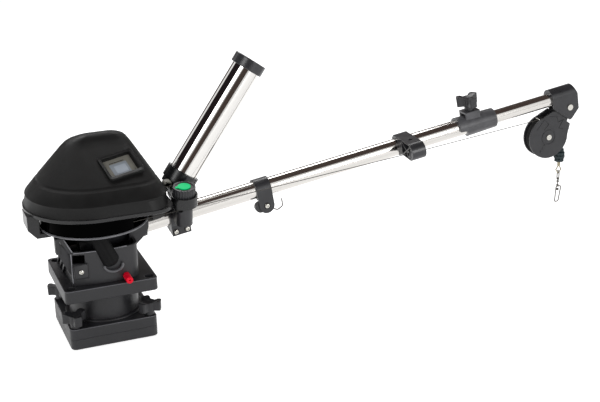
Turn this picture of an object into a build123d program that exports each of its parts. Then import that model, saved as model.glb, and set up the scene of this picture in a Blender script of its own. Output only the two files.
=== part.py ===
"""Electric fishing downrigger: a swivelling pedestal, a covered cable spool and a telescopic boom.

Millimetres, +Z up.  The origin is the centre of the mounting plate's underside, on the swivel axis.
+X runs along the boom in plan and -Y is the side on which the cable leaves the spool.
"""
from build123d import *
from math import cos, hypot, radians, sin
import os

os.makedirs("parts", exist_ok=True)

# ---------------------------------------------------------------- clearances
RUN = 0.05                  # radial clearance of a running fit
GAP = 0.3                   # between faces that move past each other

# ---------------------------------------------------------------- pedestal
plate_thick = 18.8
plate_corner = 9
plate_edge = 1.6
mount_pitch = 90            # square of bolts that hold the mounting plate down
mount_hole_r = 4.25
mount_head_r = 8
mount_head_depth = 8
knob_pitch = 128            # square of clamp studs
plate_side = knob_pitch + 22.4
stud_r = 4
stud_head_r = 8
stud_head_h = 5
drum_r = 60
drum_wall = 7
drum_height = 50
drum_foot_r = 67
drum_foot_h = 3.5
top_thick = 22.4
top_corner = 8
top_edge = 2.4
top_pitch = 133             # square of deck bolt holes
top_side = top_pitch + 26
top_hole_r = 4.25
top_head_r = 7.5
top_head_depth = 12

clamp_top = 2 * plate_thick
drum_top = clamp_top + drum_height
deck = drum_top + top_thick             # top face of the swivel's fixed plate

# ---------------------------------------------------------------- clamp knobs
knob_r = 20.5
knob_h = 17
knob_hub_r = 8.5
knob_hub_h = 9
knob_lobe_w = 13
dish_rise = 30              # of the centre of the round dish in a knob's top

# ---------------------------------------------------------------- swivel
ring_r = 47
ring_bore = 34
ring_h = 14
slot_count = 12
slot_depth = 30             # how near to the swivel axis a notch ends
post_r = 14
post_head_r = 22
post_head_h = 6

# ---------------------------------------------------------------- frame
frame_left = -62
frame_right = 54
frame_front = 61            # half width at the ends of the bowed walls
frame_bow = 6.5
frame_corner = 18
frame_wall = 5
frame_top = 170
floor_thick = 6
flare_x = -84               # outer face of the left flare
flare_top = 197.5
flare_half = 57
boss_r = 22
boss_top = 197
post_seat = 187
arm_half = 30
arm_end_x = 81
arm_low = 146               # of the right arm where it leaves the wall
arm_knee = 174
gusset_y = 51               # of the deep gusset at the front
gusset_back_y = 45
gusset_knee = 171
gusset_foot = 126
gusset_lip = 7
gusset_thick = 5
brace_low = 112             # slanting braces on the left wall
brace_high = 166
brace_run = 60
brace_w = 8
brace_deep = 4
brace_starts = (-54, -32, -10)

# ---------------------------------------------------------------- lock pin
pad_x = -47                 # screw pad on the front wall
pad_z = 137
pad_face = -66.5
pin_x = 28.5
pin_r = 5.9
pin_nose_r = 4.5
pin_rise = 7.5              # height of its axis over the deck
pin_tip = -38.5             # inner end when drawn out, clear of the ring
pin_collar = -50
pin_collar_r = 6.3
pin_collar_len = 2.5
pin_end = 90                # outer end, in front of the wall
pin_bore_r = 1.4

# ---------------------------------------------------------------- spool
spool_x = -6.5
spool_r = 93
spool_flange = 3.2
spool_bottom = 199.8
spool_core_r = 48
groove_h = 20.5
upper_flange_r = 84
cable_r = 0.7
wrap_r = 60
post_outer_r = 10
post_bore_r = 6
bearing_r = 16
bearing_h = 7
guard_r = 90
guard_wall = 2.6
guard_clear = 1.2
guard_window = (30, 12)
hub_bore = 12.5
hub_r = 24
hub_rise = 11
post_top = 252

# ---------------------------------------------------------------- tray and cover
rim_low = 229.5
rim_high = 236
cover_step = 256
cover_ridge = 346.5
cover_front = -95
cover_back = 125
cover_left_r = 110
cover_right = 115
cover_corner = 34
cover_inset = 4.5
cover_wall = 3.2
rim_out = 1.2               # of the tray past the cover
tray_arm_half = 22
saddle_half = 18
saddle_start = 92
saddle_end = 114
saddle_low = 190
tail_out = -121             # of the tail arm that reaches down behind the spool
tail_in = -101.5
tail_bend = -107
tail_low = 190
screen_w = 52
screen_h = 42
screen_slope = 31.8
screen_turn = 13
hood_top = (-3, -50, 184)
hood_run = (9, -22, -50)
hood_len = 58

# ---------------------------------------------------------------- drive
pulley_big_r = 46
pulley_small_r = 13
belt_thick = 2
belt_w = 9
motor_r = 24
motor_len = 38
motor_x = 40
motor_y = 58
motor_legs = [(24, 24), (-24, 24), (24, -16)]
shaft_r = 4

# ---------------------------------------------------------------- boom
boom_z = 166.4              # height of the boom's axis over the swivel
boom_pitch = 8.71
outer_r = 15.875
outer_wall = 1.25
inner_r = 12.7
inner_wall = 1.5
outer_start = -30
outer_end = 772
inner_start = 90
inner_end = 945
socket_wall = 4.5
socket_start = -38
socket_end = arm_end_x

# ---------------------------------------------------------------- boom fittings
bush_len = 30
bush_cap = 3
screw_r = 3
screw_head_r = 4.6
screw_head_h = 2.6
wire_r = 1.1
hook_s = 300.5
hook_wall = 3.2
hook_screw_h = -28
hook_y = -11
heel_thick = 8
guide_s = 570
guide_len = 27
guide_top = 22
guide_low = -10
guide_flat = -56            # where the flat top ends and the nose starts
guide_nose = -72
guide_hole_y = -38.5
guide_pocket = 16
guide_wall = 3
sleeve_s = outer_end - 76
sleeve_len = 79
sleeve_r = 20.5
sleeve_boss_h = 28.5
sleeve_boss_len = 30
sleeve_boss_w = 26
nut_slot_h = 7
nut_slot_deep = 9
knob_s = outer_end - 44
lock_knob_size = 1.05
cap_half = 17
cap_start = 898
cap_top = 20.5
cheek_in = 13.6
bolt_s = 933.6
bolt_h = -19.8
bolt_r = 4

# ---------------------------------------------------------------- pulley head
head_half = 12
head_thick = 2.8
head_r = 42
axle_s = 884.5
axle_h = -69.4
axle_r = 4
wheel_half = 7
wheel_r = 38.5
line_r = 34                 # of the cable's centre line round the wheel

# ---------------------------------------------------------------- cable and tackle
cable_z = 204.2
cable_y = -53
cable_h = 1
cable_bend = 100            # radius of the tube's arcs at the guide and before the wheel
guide_eye_r = 4
stopper_top = 202
stopper_low = 175
stopper_r = 10.8
stopper_core = 7.5
stopper_pitch = 5.4
stopper_fin = 3.4
ring_half = 6
ring_z = 158
link_half = 3.2
bead_r = 2.6
link_low = 137
loop_low = 91

# ---------------------------------------------------------------- rod holder
bracket_roll = 9
post_s = 152
post_x = -10.2
post_y = -45
clamp_s = 141
clamp_len = 34
clamp_r = 22
clamp_split = 1
clamp_screw_s = 10.5
clamp_screw_h = 23
ear_y = 19
ear_h = 31
column_low = 4
column_top = 41
column_r = 14.5
collar_r = 23
collar_lip = 61
rod_angle = 54.6
rod_mouth = (157.5, 3, 263.6)
rod_r = 24.7
rod_wall = 1.3
rod_len = 222
cup_r = 29.5
cup_deep = 21
neck_deep = 30.5
tube_seat = 12
cap_r = 29
cap_deep = 15
rod_knob_r = 19.5
rod_knob_top = 75.5
disc_r = 11

boom = Plane(origin=(0, 0, boom_z), x_dir=(cos(radians(boom_pitch)), 0, sin(radians(boom_pitch))),
             z_dir=(-sin(radians(boom_pitch)), 0, cos(radians(boom_pitch))))


def at_boom(s, y=0, h=0):
    """Point at s along the boom, y across it and h above its axis."""
    return boom.from_local_coords((s, y, h))


def across(s, roll=0):
    """Cross-section plane of the boom at s: its x is world Y and its y is up, rolled towards -Y."""
    x_dir = Vector(0, cos(radians(roll)), 0) + boom.z_dir * sin(radians(roll))
    return Plane(origin=at_boom(s), x_dir=x_dir, z_dir=boom.x_dir)


def beside(y):
    """Plane along the boom at world Y: its x is s, its y is h, and it looks towards -Y."""
    return Plane(origin=at_boom(0, y), x_dir=boom.x_dir, z_dir=(0, -1, 0))


def over(h):
    """Plane parallel to the boom at height h: its x is s and its y is world Y."""
    return Plane(origin=at_boom(0, 0, h), x_dir=boom.x_dir, z_dir=boom.z_dir)


def front(y):
    """Upright plane at world Y that looks towards -Y: its x is world X and its y is world Z."""
    return Plane(origin=(0, y, 0), x_dir=(1, 0, 0), z_dir=(0, -1, 0))


slope = radians(screen_slope)
turned = radians(screen_turn)
screen_plane = Plane(origin=(41.5, -23, 299.6),
                     x_dir=(cos(turned), sin(turned) * cos(slope), sin(turned) * sin(slope)),
                     z_dir=(0, -sin(slope), cos(slope)))


def save(piece, label):
    """Write one sub-part under its own name."""
    piece.part.label = label
    export_step(piece.part, f"parts/{label}.step")


def corners(pitch):
    """The four corners of a square pattern."""
    return [(x * pitch / 2, y * pitch / 2) for y in (-1, 1) for x in (-1, 1)]


# ================================================================ pedestal
with BuildPart() as mounting_plate:
    with BuildSketch():
        RectangleRounded(plate_side, plate_side, plate_corner)
    extrude(amount=plate_thick)
    chamfer(mounting_plate.faces().sort_by(Axis.Z)[0].outer_wire().edges(), plate_edge)
    with BuildSketch(Plane.XY.offset(plate_thick)):
        with Locations(corners(mount_pitch)):
            Circle(mount_head_r)
    extrude(amount=-mount_head_depth, mode=Mode.SUBTRACT)
    with BuildSketch():
        with Locations(corners(mount_pitch)):
            Circle(mount_hole_r)
        with Locations(corners(knob_pitch)):
            Circle(stud_r + GAP)
    extrude(amount=plate_thick, mode=Mode.SUBTRACT)
    with BuildSketch():
        with Locations(corners(knob_pitch)):
            Circle(stud_head_r + GAP)
    extrude(amount=stud_head_h, mode=Mode.SUBTRACT)
save(mounting_plate, "mounting_plate")

with BuildPart() as clamp_plate:
    with BuildSketch(Plane.XY.offset(plate_thick)):
        RectangleRounded(plate_side, plate_side, plate_corner)
    extrude(amount=plate_thick)
    chamfer(clamp_plate.faces().sort_by(Axis.Z)[-1].outer_wire().edges(), plate_edge)
    chamfer(clamp_plate.faces().sort_by(Axis.Z)[0].outer_wire().edges(), 0.5)
    with BuildSketch(Plane.XY.offset(plate_thick)):
        with Locations(corners(knob_pitch)):
            Circle(stud_r + GAP)
    extrude(amount=plate_thick, mode=Mode.SUBTRACT)
save(clamp_plate, "clamp_plate")

with BuildPart() as riser_drum:
    with BuildSketch(Plane.XY.offset(clamp_top)):
        Circle(drum_foot_r)
        Circle(drum_r - drum_wall, mode=Mode.SUBTRACT)
    extrude(amount=drum_foot_h)
    chamfer(riser_drum.edges().filter_by(GeomType.CIRCLE).group_by(Axis.Z)[-1].sort_by(SortBy.RADIUS)[-1], 1.2)
    with BuildSketch(Plane.XY.offset(clamp_top)):
        Circle(drum_r)
        Circle(drum_r - drum_wall, mode=Mode.SUBTRACT)
    extrude(amount=drum_height)
save(riser_drum, "riser_drum")

with BuildPart() as swivel_plate:
    with BuildSketch(Plane.XY.offset(drum_top)):
        RectangleRounded(top_side, top_side, top_corner)
    extrude(amount=top_thick, taper=1.5)
    fillet(swivel_plate.faces().sort_by(Axis.Z)[-1].outer_wire().edges(), top_edge)
    chamfer(swivel_plate.faces().sort_by(Axis.Z)[0].outer_wire().edges(), 0.8)
    with BuildSketch(Plane.XY.offset(deck)):
        with Locations(corners(top_pitch)):
            Circle(top_head_r)
    extrude(amount=-top_head_depth, mode=Mode.SUBTRACT)
    with BuildSketch(Plane.XY.offset(drum_top)):
        with Locations(corners(top_pitch)):
            Circle(top_hole_r)
        Circle(post_r + GAP)
    extrude(amount=top_thick, mode=Mode.SUBTRACT)
save(swivel_plate, "swivel_plate")

stud_top = clamp_top + knob_hub_h + knob_h - 7
with BuildPart() as clamp_studs:
    with BuildSketch():
        with Locations(corners(knob_pitch)):
            Circle(stud_head_r)
    extrude(amount=stud_head_h - GAP)
    with BuildSketch():
        with Locations(corners(knob_pitch)):
            Circle(stud_r)
    extrude(amount=stud_top)
save(clamp_studs, "clamp_studs")


def lobed_knob(centre, size, turn, bore=0, stem=0):
    """Three-lobed clamp knob that stands on its hub at centre, bored for a stud or with its own stem."""
    reach = knob_r * size
    lobes = centre.offset(knob_hub_h * size)
    total = (knob_hub_h + knob_h) * size
    with BuildPart() as knob:
        with BuildSketch(centre):
            Circle(knob_hub_r * size)
        extrude(amount=knob_hub_h * size)
        with BuildSketch(lobes) as star:
            Circle(knob_hub_r * size * 1.25)
            with PolarLocations(0, 3, start_angle=turn):
                Rectangle(reach, knob_lobe_w * size, align=(Align.MIN, Align.CENTER))
            fillet([v for v in star.vertices() if hypot(v.X, v.Y) > reach * 0.9], 2.5 * size)
        extrude(amount=knob_h * size, taper=-2)
        with Locations(centre.offset(total + dish_rise * size).origin):
            Sphere((dish_rise + 4) * size, mode=Mode.SUBTRACT)
        if bore:
            with BuildSketch(centre):
                Circle(bore)
            extrude(amount=total - 5.5 * size, mode=Mode.SUBTRACT)
        if stem:
            with BuildSketch(centre):
                Circle(screw_r)
            extrude(amount=-stem)
    return knob


knob_names = ["front_left", "front_right", "rear_left", "rear_right"]
knob_turns = [35, -25, 160, 80]
for (x, y), name, turn in zip(corners(knob_pitch), knob_names, knob_turns):
    clamp_knob = lobed_knob(Plane((x, y, clamp_top + GAP)), 1, turn, bore=stud_r + RUN)
    save(clamp_knob, f"clamp_knob_{name}")

# ================================================================ swivel
with BuildPart() as detent_ring:
    with BuildSketch(Plane.XY.offset(deck)):
        Circle(ring_r)
        Circle(ring_bore, mode=Mode.SUBTRACT)
    extrude(amount=ring_h)
    with BuildSketch(Plane.XY.offset(deck)):
        with PolarLocations(0, slot_count):
            with Locations((pin_x, -ring_r)):
                Rectangle(2 * (pin_nose_r + GAP), 2 * (ring_r - slot_depth))
    extrude(amount=ring_h, mode=Mode.SUBTRACT)
save(detent_ring, "detent_ring")

floor_low = deck + ring_h + GAP
floor_top = floor_low + floor_thick
with BuildPart() as swivel_post:
    with BuildSketch(Plane.XY.offset(drum_top)):
        Circle(post_r)
    extrude(amount=floor_top + GAP - drum_top)
    with BuildSketch(Plane.XY.offset(floor_top + GAP)):
        Circle(post_head_r)
    extrude(amount=2)
    with BuildSketch(Plane.XY.offset(floor_top + GAP + 2)):
        RegularPolygon(post_r, 6)
    extrude(amount=post_head_h)
save(swivel_post, "swivel_post")


# ================================================================ frame
def frame_plan(inset=0):
    """Bowed outline of the frame's walls, drawn in by inset."""
    with BuildSketch() as plan:
        with BuildLine():
            Line((frame_left, frame_front - 3), (frame_left, 3 - frame_front))
            ThreePointArc((frame_left, 3 - frame_front), (-8, -frame_front - frame_bow),
                          (frame_right, 1 - frame_front))
            Line((frame_right, 1 - frame_front), (frame_right, frame_front - 1))
            ThreePointArc((frame_right, frame_front - 1), (-8, frame_front + frame_bow),
                          (frame_left, frame_front - 3))
        make_face()
        fillet([v for v in plan.vertices() if v.X > 0], frame_corner)
        fillet([v for v in plan.vertices() if v.X < frame_left + 1], 4)
        if inset:
            offset(amount=-inset, mode=Mode.REPLACE)
    return plan.sketch


frame_low = deck + GAP
wall_front = -frame_front - frame_bow
with BuildPart() as frame:
    with BuildSketch(Plane.XY.offset(frame_low)):
        add(frame_plan())
    extrude(amount=frame_top - frame_low)
    with BuildSketch(Plane.XY.offset(frame_low)):
        add(frame_plan(frame_wall))
    extrude(amount=floor_low - frame_low, mode=Mode.SUBTRACT)
    with BuildSketch(Plane.XY.offset(floor_top)):
        add(frame_plan(frame_wall))
    extrude(amount=frame_top - floor_top, mode=Mode.SUBTRACT)
    # left flare that reaches out under the spool's flange
    with BuildSketch(Plane.XZ):
        Polygon((frame_left, frame_top - 14), (frame_left + frame_wall, frame_top - 14),
                (frame_left + frame_wall, frame_top), (flare_x + 13, flare_top), (flare_x + 2, flare_top),
                (flare_x + 2, flare_top - 5), (flare_x + 7, flare_top - 5), (frame_left, frame_top - 3),
                align=None)
    extrude(amount=flare_half, both=True)
    # gussets under the flare, the front one deep and with a lip down its outer edge
    for y, knee, foot in ((-gusset_y, gusset_knee, gusset_foot), (gusset_back_y, flare_top - 9, frame_top - 6)):
        with BuildSketch(Plane.XZ.offset(-y)):
            Polygon((frame_left + 1, foot), (flare_x + 2, knee), (flare_x + 2, flare_top - 2),
                    (frame_left + 1, frame_top - 2), align=None)
        extrude(amount=gusset_thick / 2, both=True)
    with BuildSketch(front(-flare_half)):
        Polygon((flare_x, gusset_knee), (flare_x + gusset_lip, gusset_knee - 3), (flare_x + gusset_lip, flare_top),
                (flare_x, flare_top), align=None)
    extrude(amount=-2 * (flare_half - gusset_y))
    # braces that slant across the left wall
    with BuildSketch(Plane.YZ.offset(frame_left + 1)):
        for y in brace_starts:
            Polygon((y, brace_high), (y + brace_w, brace_high), (y + brace_w + brace_run, brace_low),
                    (y + brace_run, brace_low), align=None)
    extrude(amount=-brace_deep - 1)
    # right arm that carries the boom's socket
    with BuildSketch(Plane.XZ):
        Polygon((frame_right - 8, arm_low), (frame_right, arm_low), (frame_right + 5, arm_low + 11),
                (arm_end_x - 3, arm_knee), (arm_end_x, arm_knee + 11), (arm_end_x, flare_top),
                (frame_right - 8, flare_top), align=None)
    extrude(amount=arm_half, both=True)
    with BuildSketch(Plane.XZ):
        Polygon((frame_right - 9, arm_low + 12), (frame_right + 4, arm_low + 16),
                (arm_end_x - 5.5, arm_knee + 5), (arm_end_x - 5.5, flare_top + 1),
                (frame_right - 9, flare_top + 1), align=None)
    extrude(amount=arm_half - frame_wall, both=True, mode=Mode.SUBTRACT)
    # socket for the boom's outer tube, its web and the boss under the spool
    with BuildSketch(Plane.XZ):
        Polygon((frame_left + 1, floor_top), (frame_right - 1, floor_top), (frame_right - 1, boom_z),
                (frame_left + 1, boom_z - 8), align=None)
    extrude(amount=3, both=True)
    with BuildSketch(across(socket_start)):
        Circle(outer_r + socket_wall)
    extrude(amount=socket_end - socket_start)
    with BuildSketch(Plane.XY.offset(boom_z)):
        with Locations((spool_x, 0)):
            Circle(boss_r)
    extrude(amount=boss_top - boom_z)
    with BuildSketch(across(outer_start - GAP)):
        Circle(outer_r + RUN)
    extrude(amount=socket_end - outer_start + 10, mode=Mode.SUBTRACT)
    with BuildSketch(Plane.XY.offset(post_seat)):
        with Locations((spool_x, 0)):
            Circle(post_outer_r)
    extrude(amount=boss_top - post_seat, mode=Mode.SUBTRACT)
    # screw pad, access window and the lock pin's bore in the front wall
    with BuildSketch(front(-frame_front + 6)):
        with Locations((pad_x - 1, pad_z)):
            RectangleRounded(22, 22, 2)
    extrude(amount=6 - frame_front - pad_face)
    with BuildSketch(front(-frame_front + 10)):
        with Locations((-49.5, 157.5)):
            RectangleRounded(21, 16, 2)
    extrude(amount=30, mode=Mode.SUBTRACT)
    with BuildSketch(front(-frame_front + 10)):
        with Locations((pin_x, deck + pin_rise)):
            Circle(pin_r + RUN)
    extrude(amount=30, mode=Mode.SUBTRACT)
    with BuildSketch(Plane.XY.offset(floor_low)):
        Circle(post_r + RUN)
    extrude(amount=floor_thick, mode=Mode.SUBTRACT)
    with BuildSketch(Plane.XY.offset(floor_top)):
        Circle(post_head_r + 2)
    extrude(amount=post_head_h + 4, mode=Mode.SUBTRACT)
    # room for the turning spool
    with BuildSketch(Plane.XY.offset(flare_top)):
        with Locations((spool_x, 0)):
            Circle(spool_r + 1.5)
    extrude(amount=30, mode=Mode.SUBTRACT)
save(frame, "frame")

with BuildPart() as lock_pin:
    with BuildSketch(front(pin_tip)):
        with Locations((pin_x, deck + pin_rise)):
            Circle(pin_nose_r)
    extrude(amount=pin_tip - pin_collar)
    with BuildSketch(front(pin_collar)):
        with Locations((pin_x, deck + pin_rise)):
            Circle(pin_collar_r)
    extrude(amount=pin_collar_len)
    with BuildSketch(front(pin_collar)):
        with Locations((pin_x, deck + pin_rise)):
            Circle(pin_r)
    extrude(amount=pin_collar + pin_end)
    chamfer(lock_pin.edges().filter_by(GeomType.CIRCLE).sort_by(Axis.Y)[0], 1)
    with BuildSketch(front(-pin_end)):
        with Locations((pin_x, deck + pin_rise)):
            Circle(pin_bore_r)
    extrude(amount=-6, mode=Mode.SUBTRACT)
save(lock_pin, "lock_pin")

# ================================================================ boom tubes
with BuildPart() as boom_outer_tube:
    with BuildSketch(across(outer_start)):
        Circle(outer_r)
        Circle(outer_r - outer_wall, mode=Mode.SUBTRACT)
    extrude(amount=outer_end - outer_start)
save(boom_outer_tube, "boom_outer_tube")

with BuildPart() as boom_inner_tube:
    with BuildSketch(across(inner_start)):
        Circle(inner_r)
        Circle(inner_r - inner_wall, mode=Mode.SUBTRACT)
    extrude(amount=inner_end - inner_start)
save(boom_inner_tube, "boom_inner_tube")

# slide bush on the inner tube's rear end
with BuildPart() as slide_bush:
    with BuildSketch(across(inner_start)):
        Circle(outer_r - outer_wall - RUN)
        Circle(inner_r, mode=Mode.SUBTRACT)
    extrude(amount=bush_len)
    with BuildSketch(across(inner_start - bush_cap)):
        Circle(outer_r - outer_wall - RUN)
    extrude(amount=bush_cap)
save(slide_bush, "slide_bush")

# ================================================================ spool
flange_top = spool_bottom + spool_flange
groove_top = flange_top + groove_h
spool_top = groove_top + spool_flange
hub_top = spool_top + hub_rise
axis_spool = Axis((spool_x, 0, 0), (0, 0, 1))
side = Plane(origin=(spool_x, 0, 0), x_dir=(1, 0, 0), z_dir=(0, -1, 0))

with BuildPart() as centre_post:
    with BuildSketch(side):
        Polygon((post_bore_r, post_seat), (post_outer_r - RUN, post_seat), (post_outer_r - RUN, boss_top),
                (post_outer_r + 4, boss_top), (post_outer_r + 4, spool_bottom - GAP),
                (post_outer_r - RUN, spool_bottom - GAP), (post_outer_r - RUN, post_top),
                (post_bore_r, post_top), align=None)
    revolve(axis=axis_spool)
save(centre_post, "centre_post")

with BuildPart() as spool:
    with BuildSketch(side):
        Polygon((hub_bore, spool_bottom + bearing_h), (bearing_r, spool_bottom + bearing_h),
                (bearing_r, spool_bottom), (spool_r - 1, spool_bottom), (spool_r, spool_bottom + 1),
                (spool_r, flange_top - 0.6), (spool_r - 0.6, flange_top), (spool_core_r, flange_top),
                (spool_core_r, groove_top), (upper_flange_r, groove_top), (upper_flange_r, spool_top),
                (hub_r, spool_top), (hub_r, hub_top), (bearing_r, hub_top), (bearing_r, hub_top - bearing_h),
                (hub_bore, hub_top - bearing_h), align=None)
    revolve(axis=axis_spool)
    with BuildSketch(Plane.XY.offset(spool_bottom)):
        with Locations((spool_x, 0)):
            with PolarLocations((spool_core_r + bearing_r) / 2 + 2, 6):
                Circle(13)
    extrude(amount=spool_top - spool_bottom, mode=Mode.SUBTRACT)
save(spool, "spool")

with BuildPart() as spool_bearings:
    for z in (spool_bottom, hub_top - bearing_h):
        with BuildSketch(Plane.XY.offset(z)):
            with Locations((spool_x, 0)):
                Circle(bearing_r)
                Circle(post_outer_r, mode=Mode.SUBTRACT)
        extrude(amount=bearing_h)
save(spool_bearings, "spool_bearings")

with BuildPart() as cable_wrap:
    with BuildSketch(Plane.XY.offset(flange_top)):
        with Locations((spool_x, 0)):
            Circle(wrap_r)
            Circle(spool_core_r, mode=Mode.SUBTRACT)
    extrude(amount=groove_h)
save(cable_wrap, "cable_wrap")

# ring wall round the spool, with a window where the cable leaves
with BuildPart() as spool_guard:
    with BuildSketch(Plane.XY.offset(flange_top + guard_clear)):
        with Locations((spool_x, 0)):
            Circle(guard_r)
            Circle(guard_r - guard_wall, mode=Mode.SUBTRACT)
    extrude(amount=rim_low - flange_top - guard_clear)
    with BuildSketch(Plane.YZ.offset(guard_r / 2)):
        with Locations((-wrap_r, flange_top + 8)):
            RectangleRounded(*guard_window, 3)
    extrude(amount=guard_r / 2, mode=Mode.SUBTRACT)
save(spool_guard, "spool_guard")


# ================================================================ tray and cover
def bay(left, right, low, high, corner):
    """Plan outline with a half-round left end between low and high and a square right end."""
    middle = (low + high) / 2
    half = (high - low) / 2
    with BuildSketch() as plan:
        with BuildLine():
            Line((left + half, low), (right, low))
            Line((right, low), (right, high))
            Line((right, high), (left + half, high))
            ThreePointArc((left + half, high), (left, middle), (left + half, low))
        make_face()
        fillet([v for v in plan.vertices() if v.X > right - 0.1], corner)
    return plan.sketch


cover_left = -9 - cover_left_r
# height, left end, right end, front, back, corner of each section of the cover
cover_sections = [
    (rim_high, cover_left, cover_right, cover_front, cover_back, cover_corner),
    (cover_step, cover_left + 4, cover_right - 5, cover_front + 3, cover_back - 3, 46),
    (275, -94, 97, -67, 116, 44),
    (331, -47, 60, 25, 79, 20),
    (340, -31, 50, 32, 71, 15),
    (344.5, -17, 42, 37, 65, 11),
    (cover_ridge, -8, 33, 41, 60, 8),
]
with BuildPart() as cover:
    for z, left, right, low, high, corner in cover_sections:
        with BuildSketch(Plane.XY.offset(z)):
            add(bay(left, right, low, high, corner))
    loft(ruled=True)
    for z, left, right, low, high, corner in cover_sections:
        drop = 0 if z == rim_high else cover_wall
        with BuildSketch(Plane.XY.offset(z - drop)):
            add(bay(left + cover_wall, right - cover_wall, low + cover_wall, high - cover_wall,
                    corner - cover_wall))
    loft(ruled=True, mode=Mode.SUBTRACT)
    with BuildSketch(screen_plane.offset(-14)):
        RectangleRounded(screen_w, screen_h, 5)
    extrude(amount=30, mode=Mode.SUBTRACT)
save(cover, "cover")

with BuildPart() as screen_bezel:
    with BuildSketch(screen_plane.offset(-2.5)):
        RectangleRounded(screen_w - 0.4, screen_h - 0.4, 4.8)
        RectangleRounded(screen_w - 9, screen_h - 11, 2, mode=Mode.SUBTRACT)
    extrude(amount=-3)
save(screen_bezel, "screen_bezel")

with BuildPart() as screen_lens:
    with BuildSketch(screen_plane.offset(-5.5)):
        RectangleRounded(screen_w - 1, screen_h - 1, 4)
    extrude(amount=-1.5)
save(screen_lens, "screen_lens")

with BuildPart() as counter_board:
    with BuildSketch(screen_plane.offset(-7)):
        RectangleRounded(screen_w - 2, screen_h - 2, 3)
    extrude(amount=-5)
save(counter_board, "counter_board")

# the tray under the cover, with the saddle that rests on the boom
with BuildPart() as tray:
    with BuildSketch(Plane.XY.offset(rim_low)):
        add(bay(cover_left - rim_out, cover_right + rim_out, cover_front - rim_out, cover_back + rim_out,
                cover_corner + rim_out))
        with Locations((spool_x, 0)):
            Circle(hub_r + 3, mode=Mode.SUBTRACT)
    extrude(amount=rim_high - rim_low)
    fillet(tray.faces().sort_by(Axis.Z)[0].outer_wire().edges(), 1.5)
    with BuildSketch(Plane.XZ):
        Polygon((saddle_start, saddle_low), (saddle_end, saddle_low + 6), (saddle_end, rim_low + 1),
                (saddle_start, rim_low + 1), align=None)
    extrude(amount=saddle_half, both=True)
    with BuildSketch(across(60)):
        Circle(outer_r)
        Rectangle(2 * outer_r, 40, align=(Align.CENTER, Align.MAX))
    extrude(amount=100, mode=Mode.SUBTRACT)
    # tail arm down to the frame's flare
    with BuildSketch(Plane.XZ):
        Polygon((tail_out, rim_low + 1), (tail_out, tail_low + 16), (tail_bend, tail_low), (flare_x, tail_low),
                (flare_x, flare_top), (tail_in, flare_top), (tail_in, rim_low + 1), align=None)
    extrude(amount=tray_arm_half, both=True)
save(tray, "tray")

# ================================================================ drive
big_low = hub_top
with BuildPart() as spool_pulley:
    with BuildSketch(side):
        Polygon((bearing_r, big_low), (pulley_big_r, big_low), (pulley_big_r, big_low + belt_w + 3),
                (pulley_big_r - 5, big_low + belt_w + 3), (pulley_big_r - 5, big_low + 3),
                (bearing_r, big_low + 3), align=None)
    revolve(axis=axis_spool)
save(spool_pulley, "spool_pulley")

with BuildPart() as post_nut:
    with BuildSketch(Plane.XY.offset(big_low + 3)):
        with Locations((spool_x, 0)):
            RegularPolygon(14, 6)
            Circle(post_outer_r - RUN, mode=Mode.SUBTRACT)
    extrude(amount=8)
save(post_nut, "post_nut")

belt_low = big_low + 1.5
with BuildPart() as drive_belt:
    with BuildSketch(Plane.XY.offset(belt_low)):
        with BuildSketch(mode=Mode.PRIVATE) as loop_out:
            with Locations((spool_x, 0)):
                Circle(pulley_big_r + GAP + belt_thick)
            with Locations((motor_x, motor_y)):
                Circle(pulley_small_r + GAP + belt_thick)
            make_hull()
        with BuildSketch(mode=Mode.PRIVATE) as loop_in:
            with Locations((spool_x, 0)):
                Circle(pulley_big_r + GAP)
            with Locations((motor_x, motor_y)):
                Circle(pulley_small_r + GAP)
            make_hull()
        add(loop_out.sketch)
        add(loop_in.sketch, mode=Mode.SUBTRACT)
    extrude(amount=belt_w)
save(drive_belt, "drive_belt")

mount_z = belt_low + belt_w + 4
with BuildPart() as motor_pulley:
    with BuildSketch(Plane.XY.offset(belt_low - 0.5)):
        with Locations((motor_x, motor_y)):
            Circle(pulley_small_r)
    extrude(amount=belt_w + 1)
    with BuildSketch(Plane.XY.offset(belt_low)):
        with Locations((motor_x, motor_y)):
            Circle(shaft_r)
    extrude(amount=mount_z + 14 - belt_low)
save(motor_pulley, "motor_pulley")

with BuildPart() as motor_mount:
    with BuildSketch(Plane.XY.offset(mount_z)):
        with Locations((motor_x, motor_y)):
            RectangleRounded(2 * motor_r + 6, 2 * motor_r + 4, 6)
            Circle(shaft_r + 3, mode=Mode.SUBTRACT)
    extrude(amount=4)
    with BuildSketch(Plane.XY.offset(rim_high)):
        with Locations(*[(motor_x + x, motor_y + y) for x, y in motor_legs]):
            Circle(3.5)
    extrude(amount=mount_z - rim_high)
save(motor_mount, "motor_mount")

with BuildPart() as drive_motor:
    with BuildSketch(Plane.XY.offset(mount_z + 4)):
        with Locations((motor_x, motor_y)):
            Circle(motor_r)
    extrude(amount=motor_len)
    fillet(drive_motor.edges().group_by(Axis.Z)[-1], 3)
    with BuildSketch(Plane.XY.offset(mount_z + 4)):
        with Locations((motor_x, motor_y)):
            Circle(shaft_r + RUN)
    extrude(amount=14, mode=Mode.SUBTRACT)
save(drive_motor, "drive_motor")

# ================================================================ inlet hood and frame screw
with BuildPart() as inlet_hood:
    with BuildSketch(Plane(origin=hood_top, x_dir=(1, 0, 0), z_dir=hood_run)):
        RectangleRounded(27, 24, 9)
    extrude(amount=hood_len, taper=-1)
    fillet(inlet_hood.faces().sort_by(Axis.Z)[0].edges(), 4)
    with BuildSketch(Plane.XY.offset(frame_low)):
        add(frame_plan())
    extrude(amount=frame_top - frame_low, mode=Mode.SUBTRACT)
    with BuildSketch(Plane.XY.offset(frame_top)):
        with Locations((0, -frame_front + 21)):
            Rectangle(80, 30)
    extrude(amount=30, mode=Mode.SUBTRACT)
save(inlet_hood, "inlet_hood")

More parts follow.
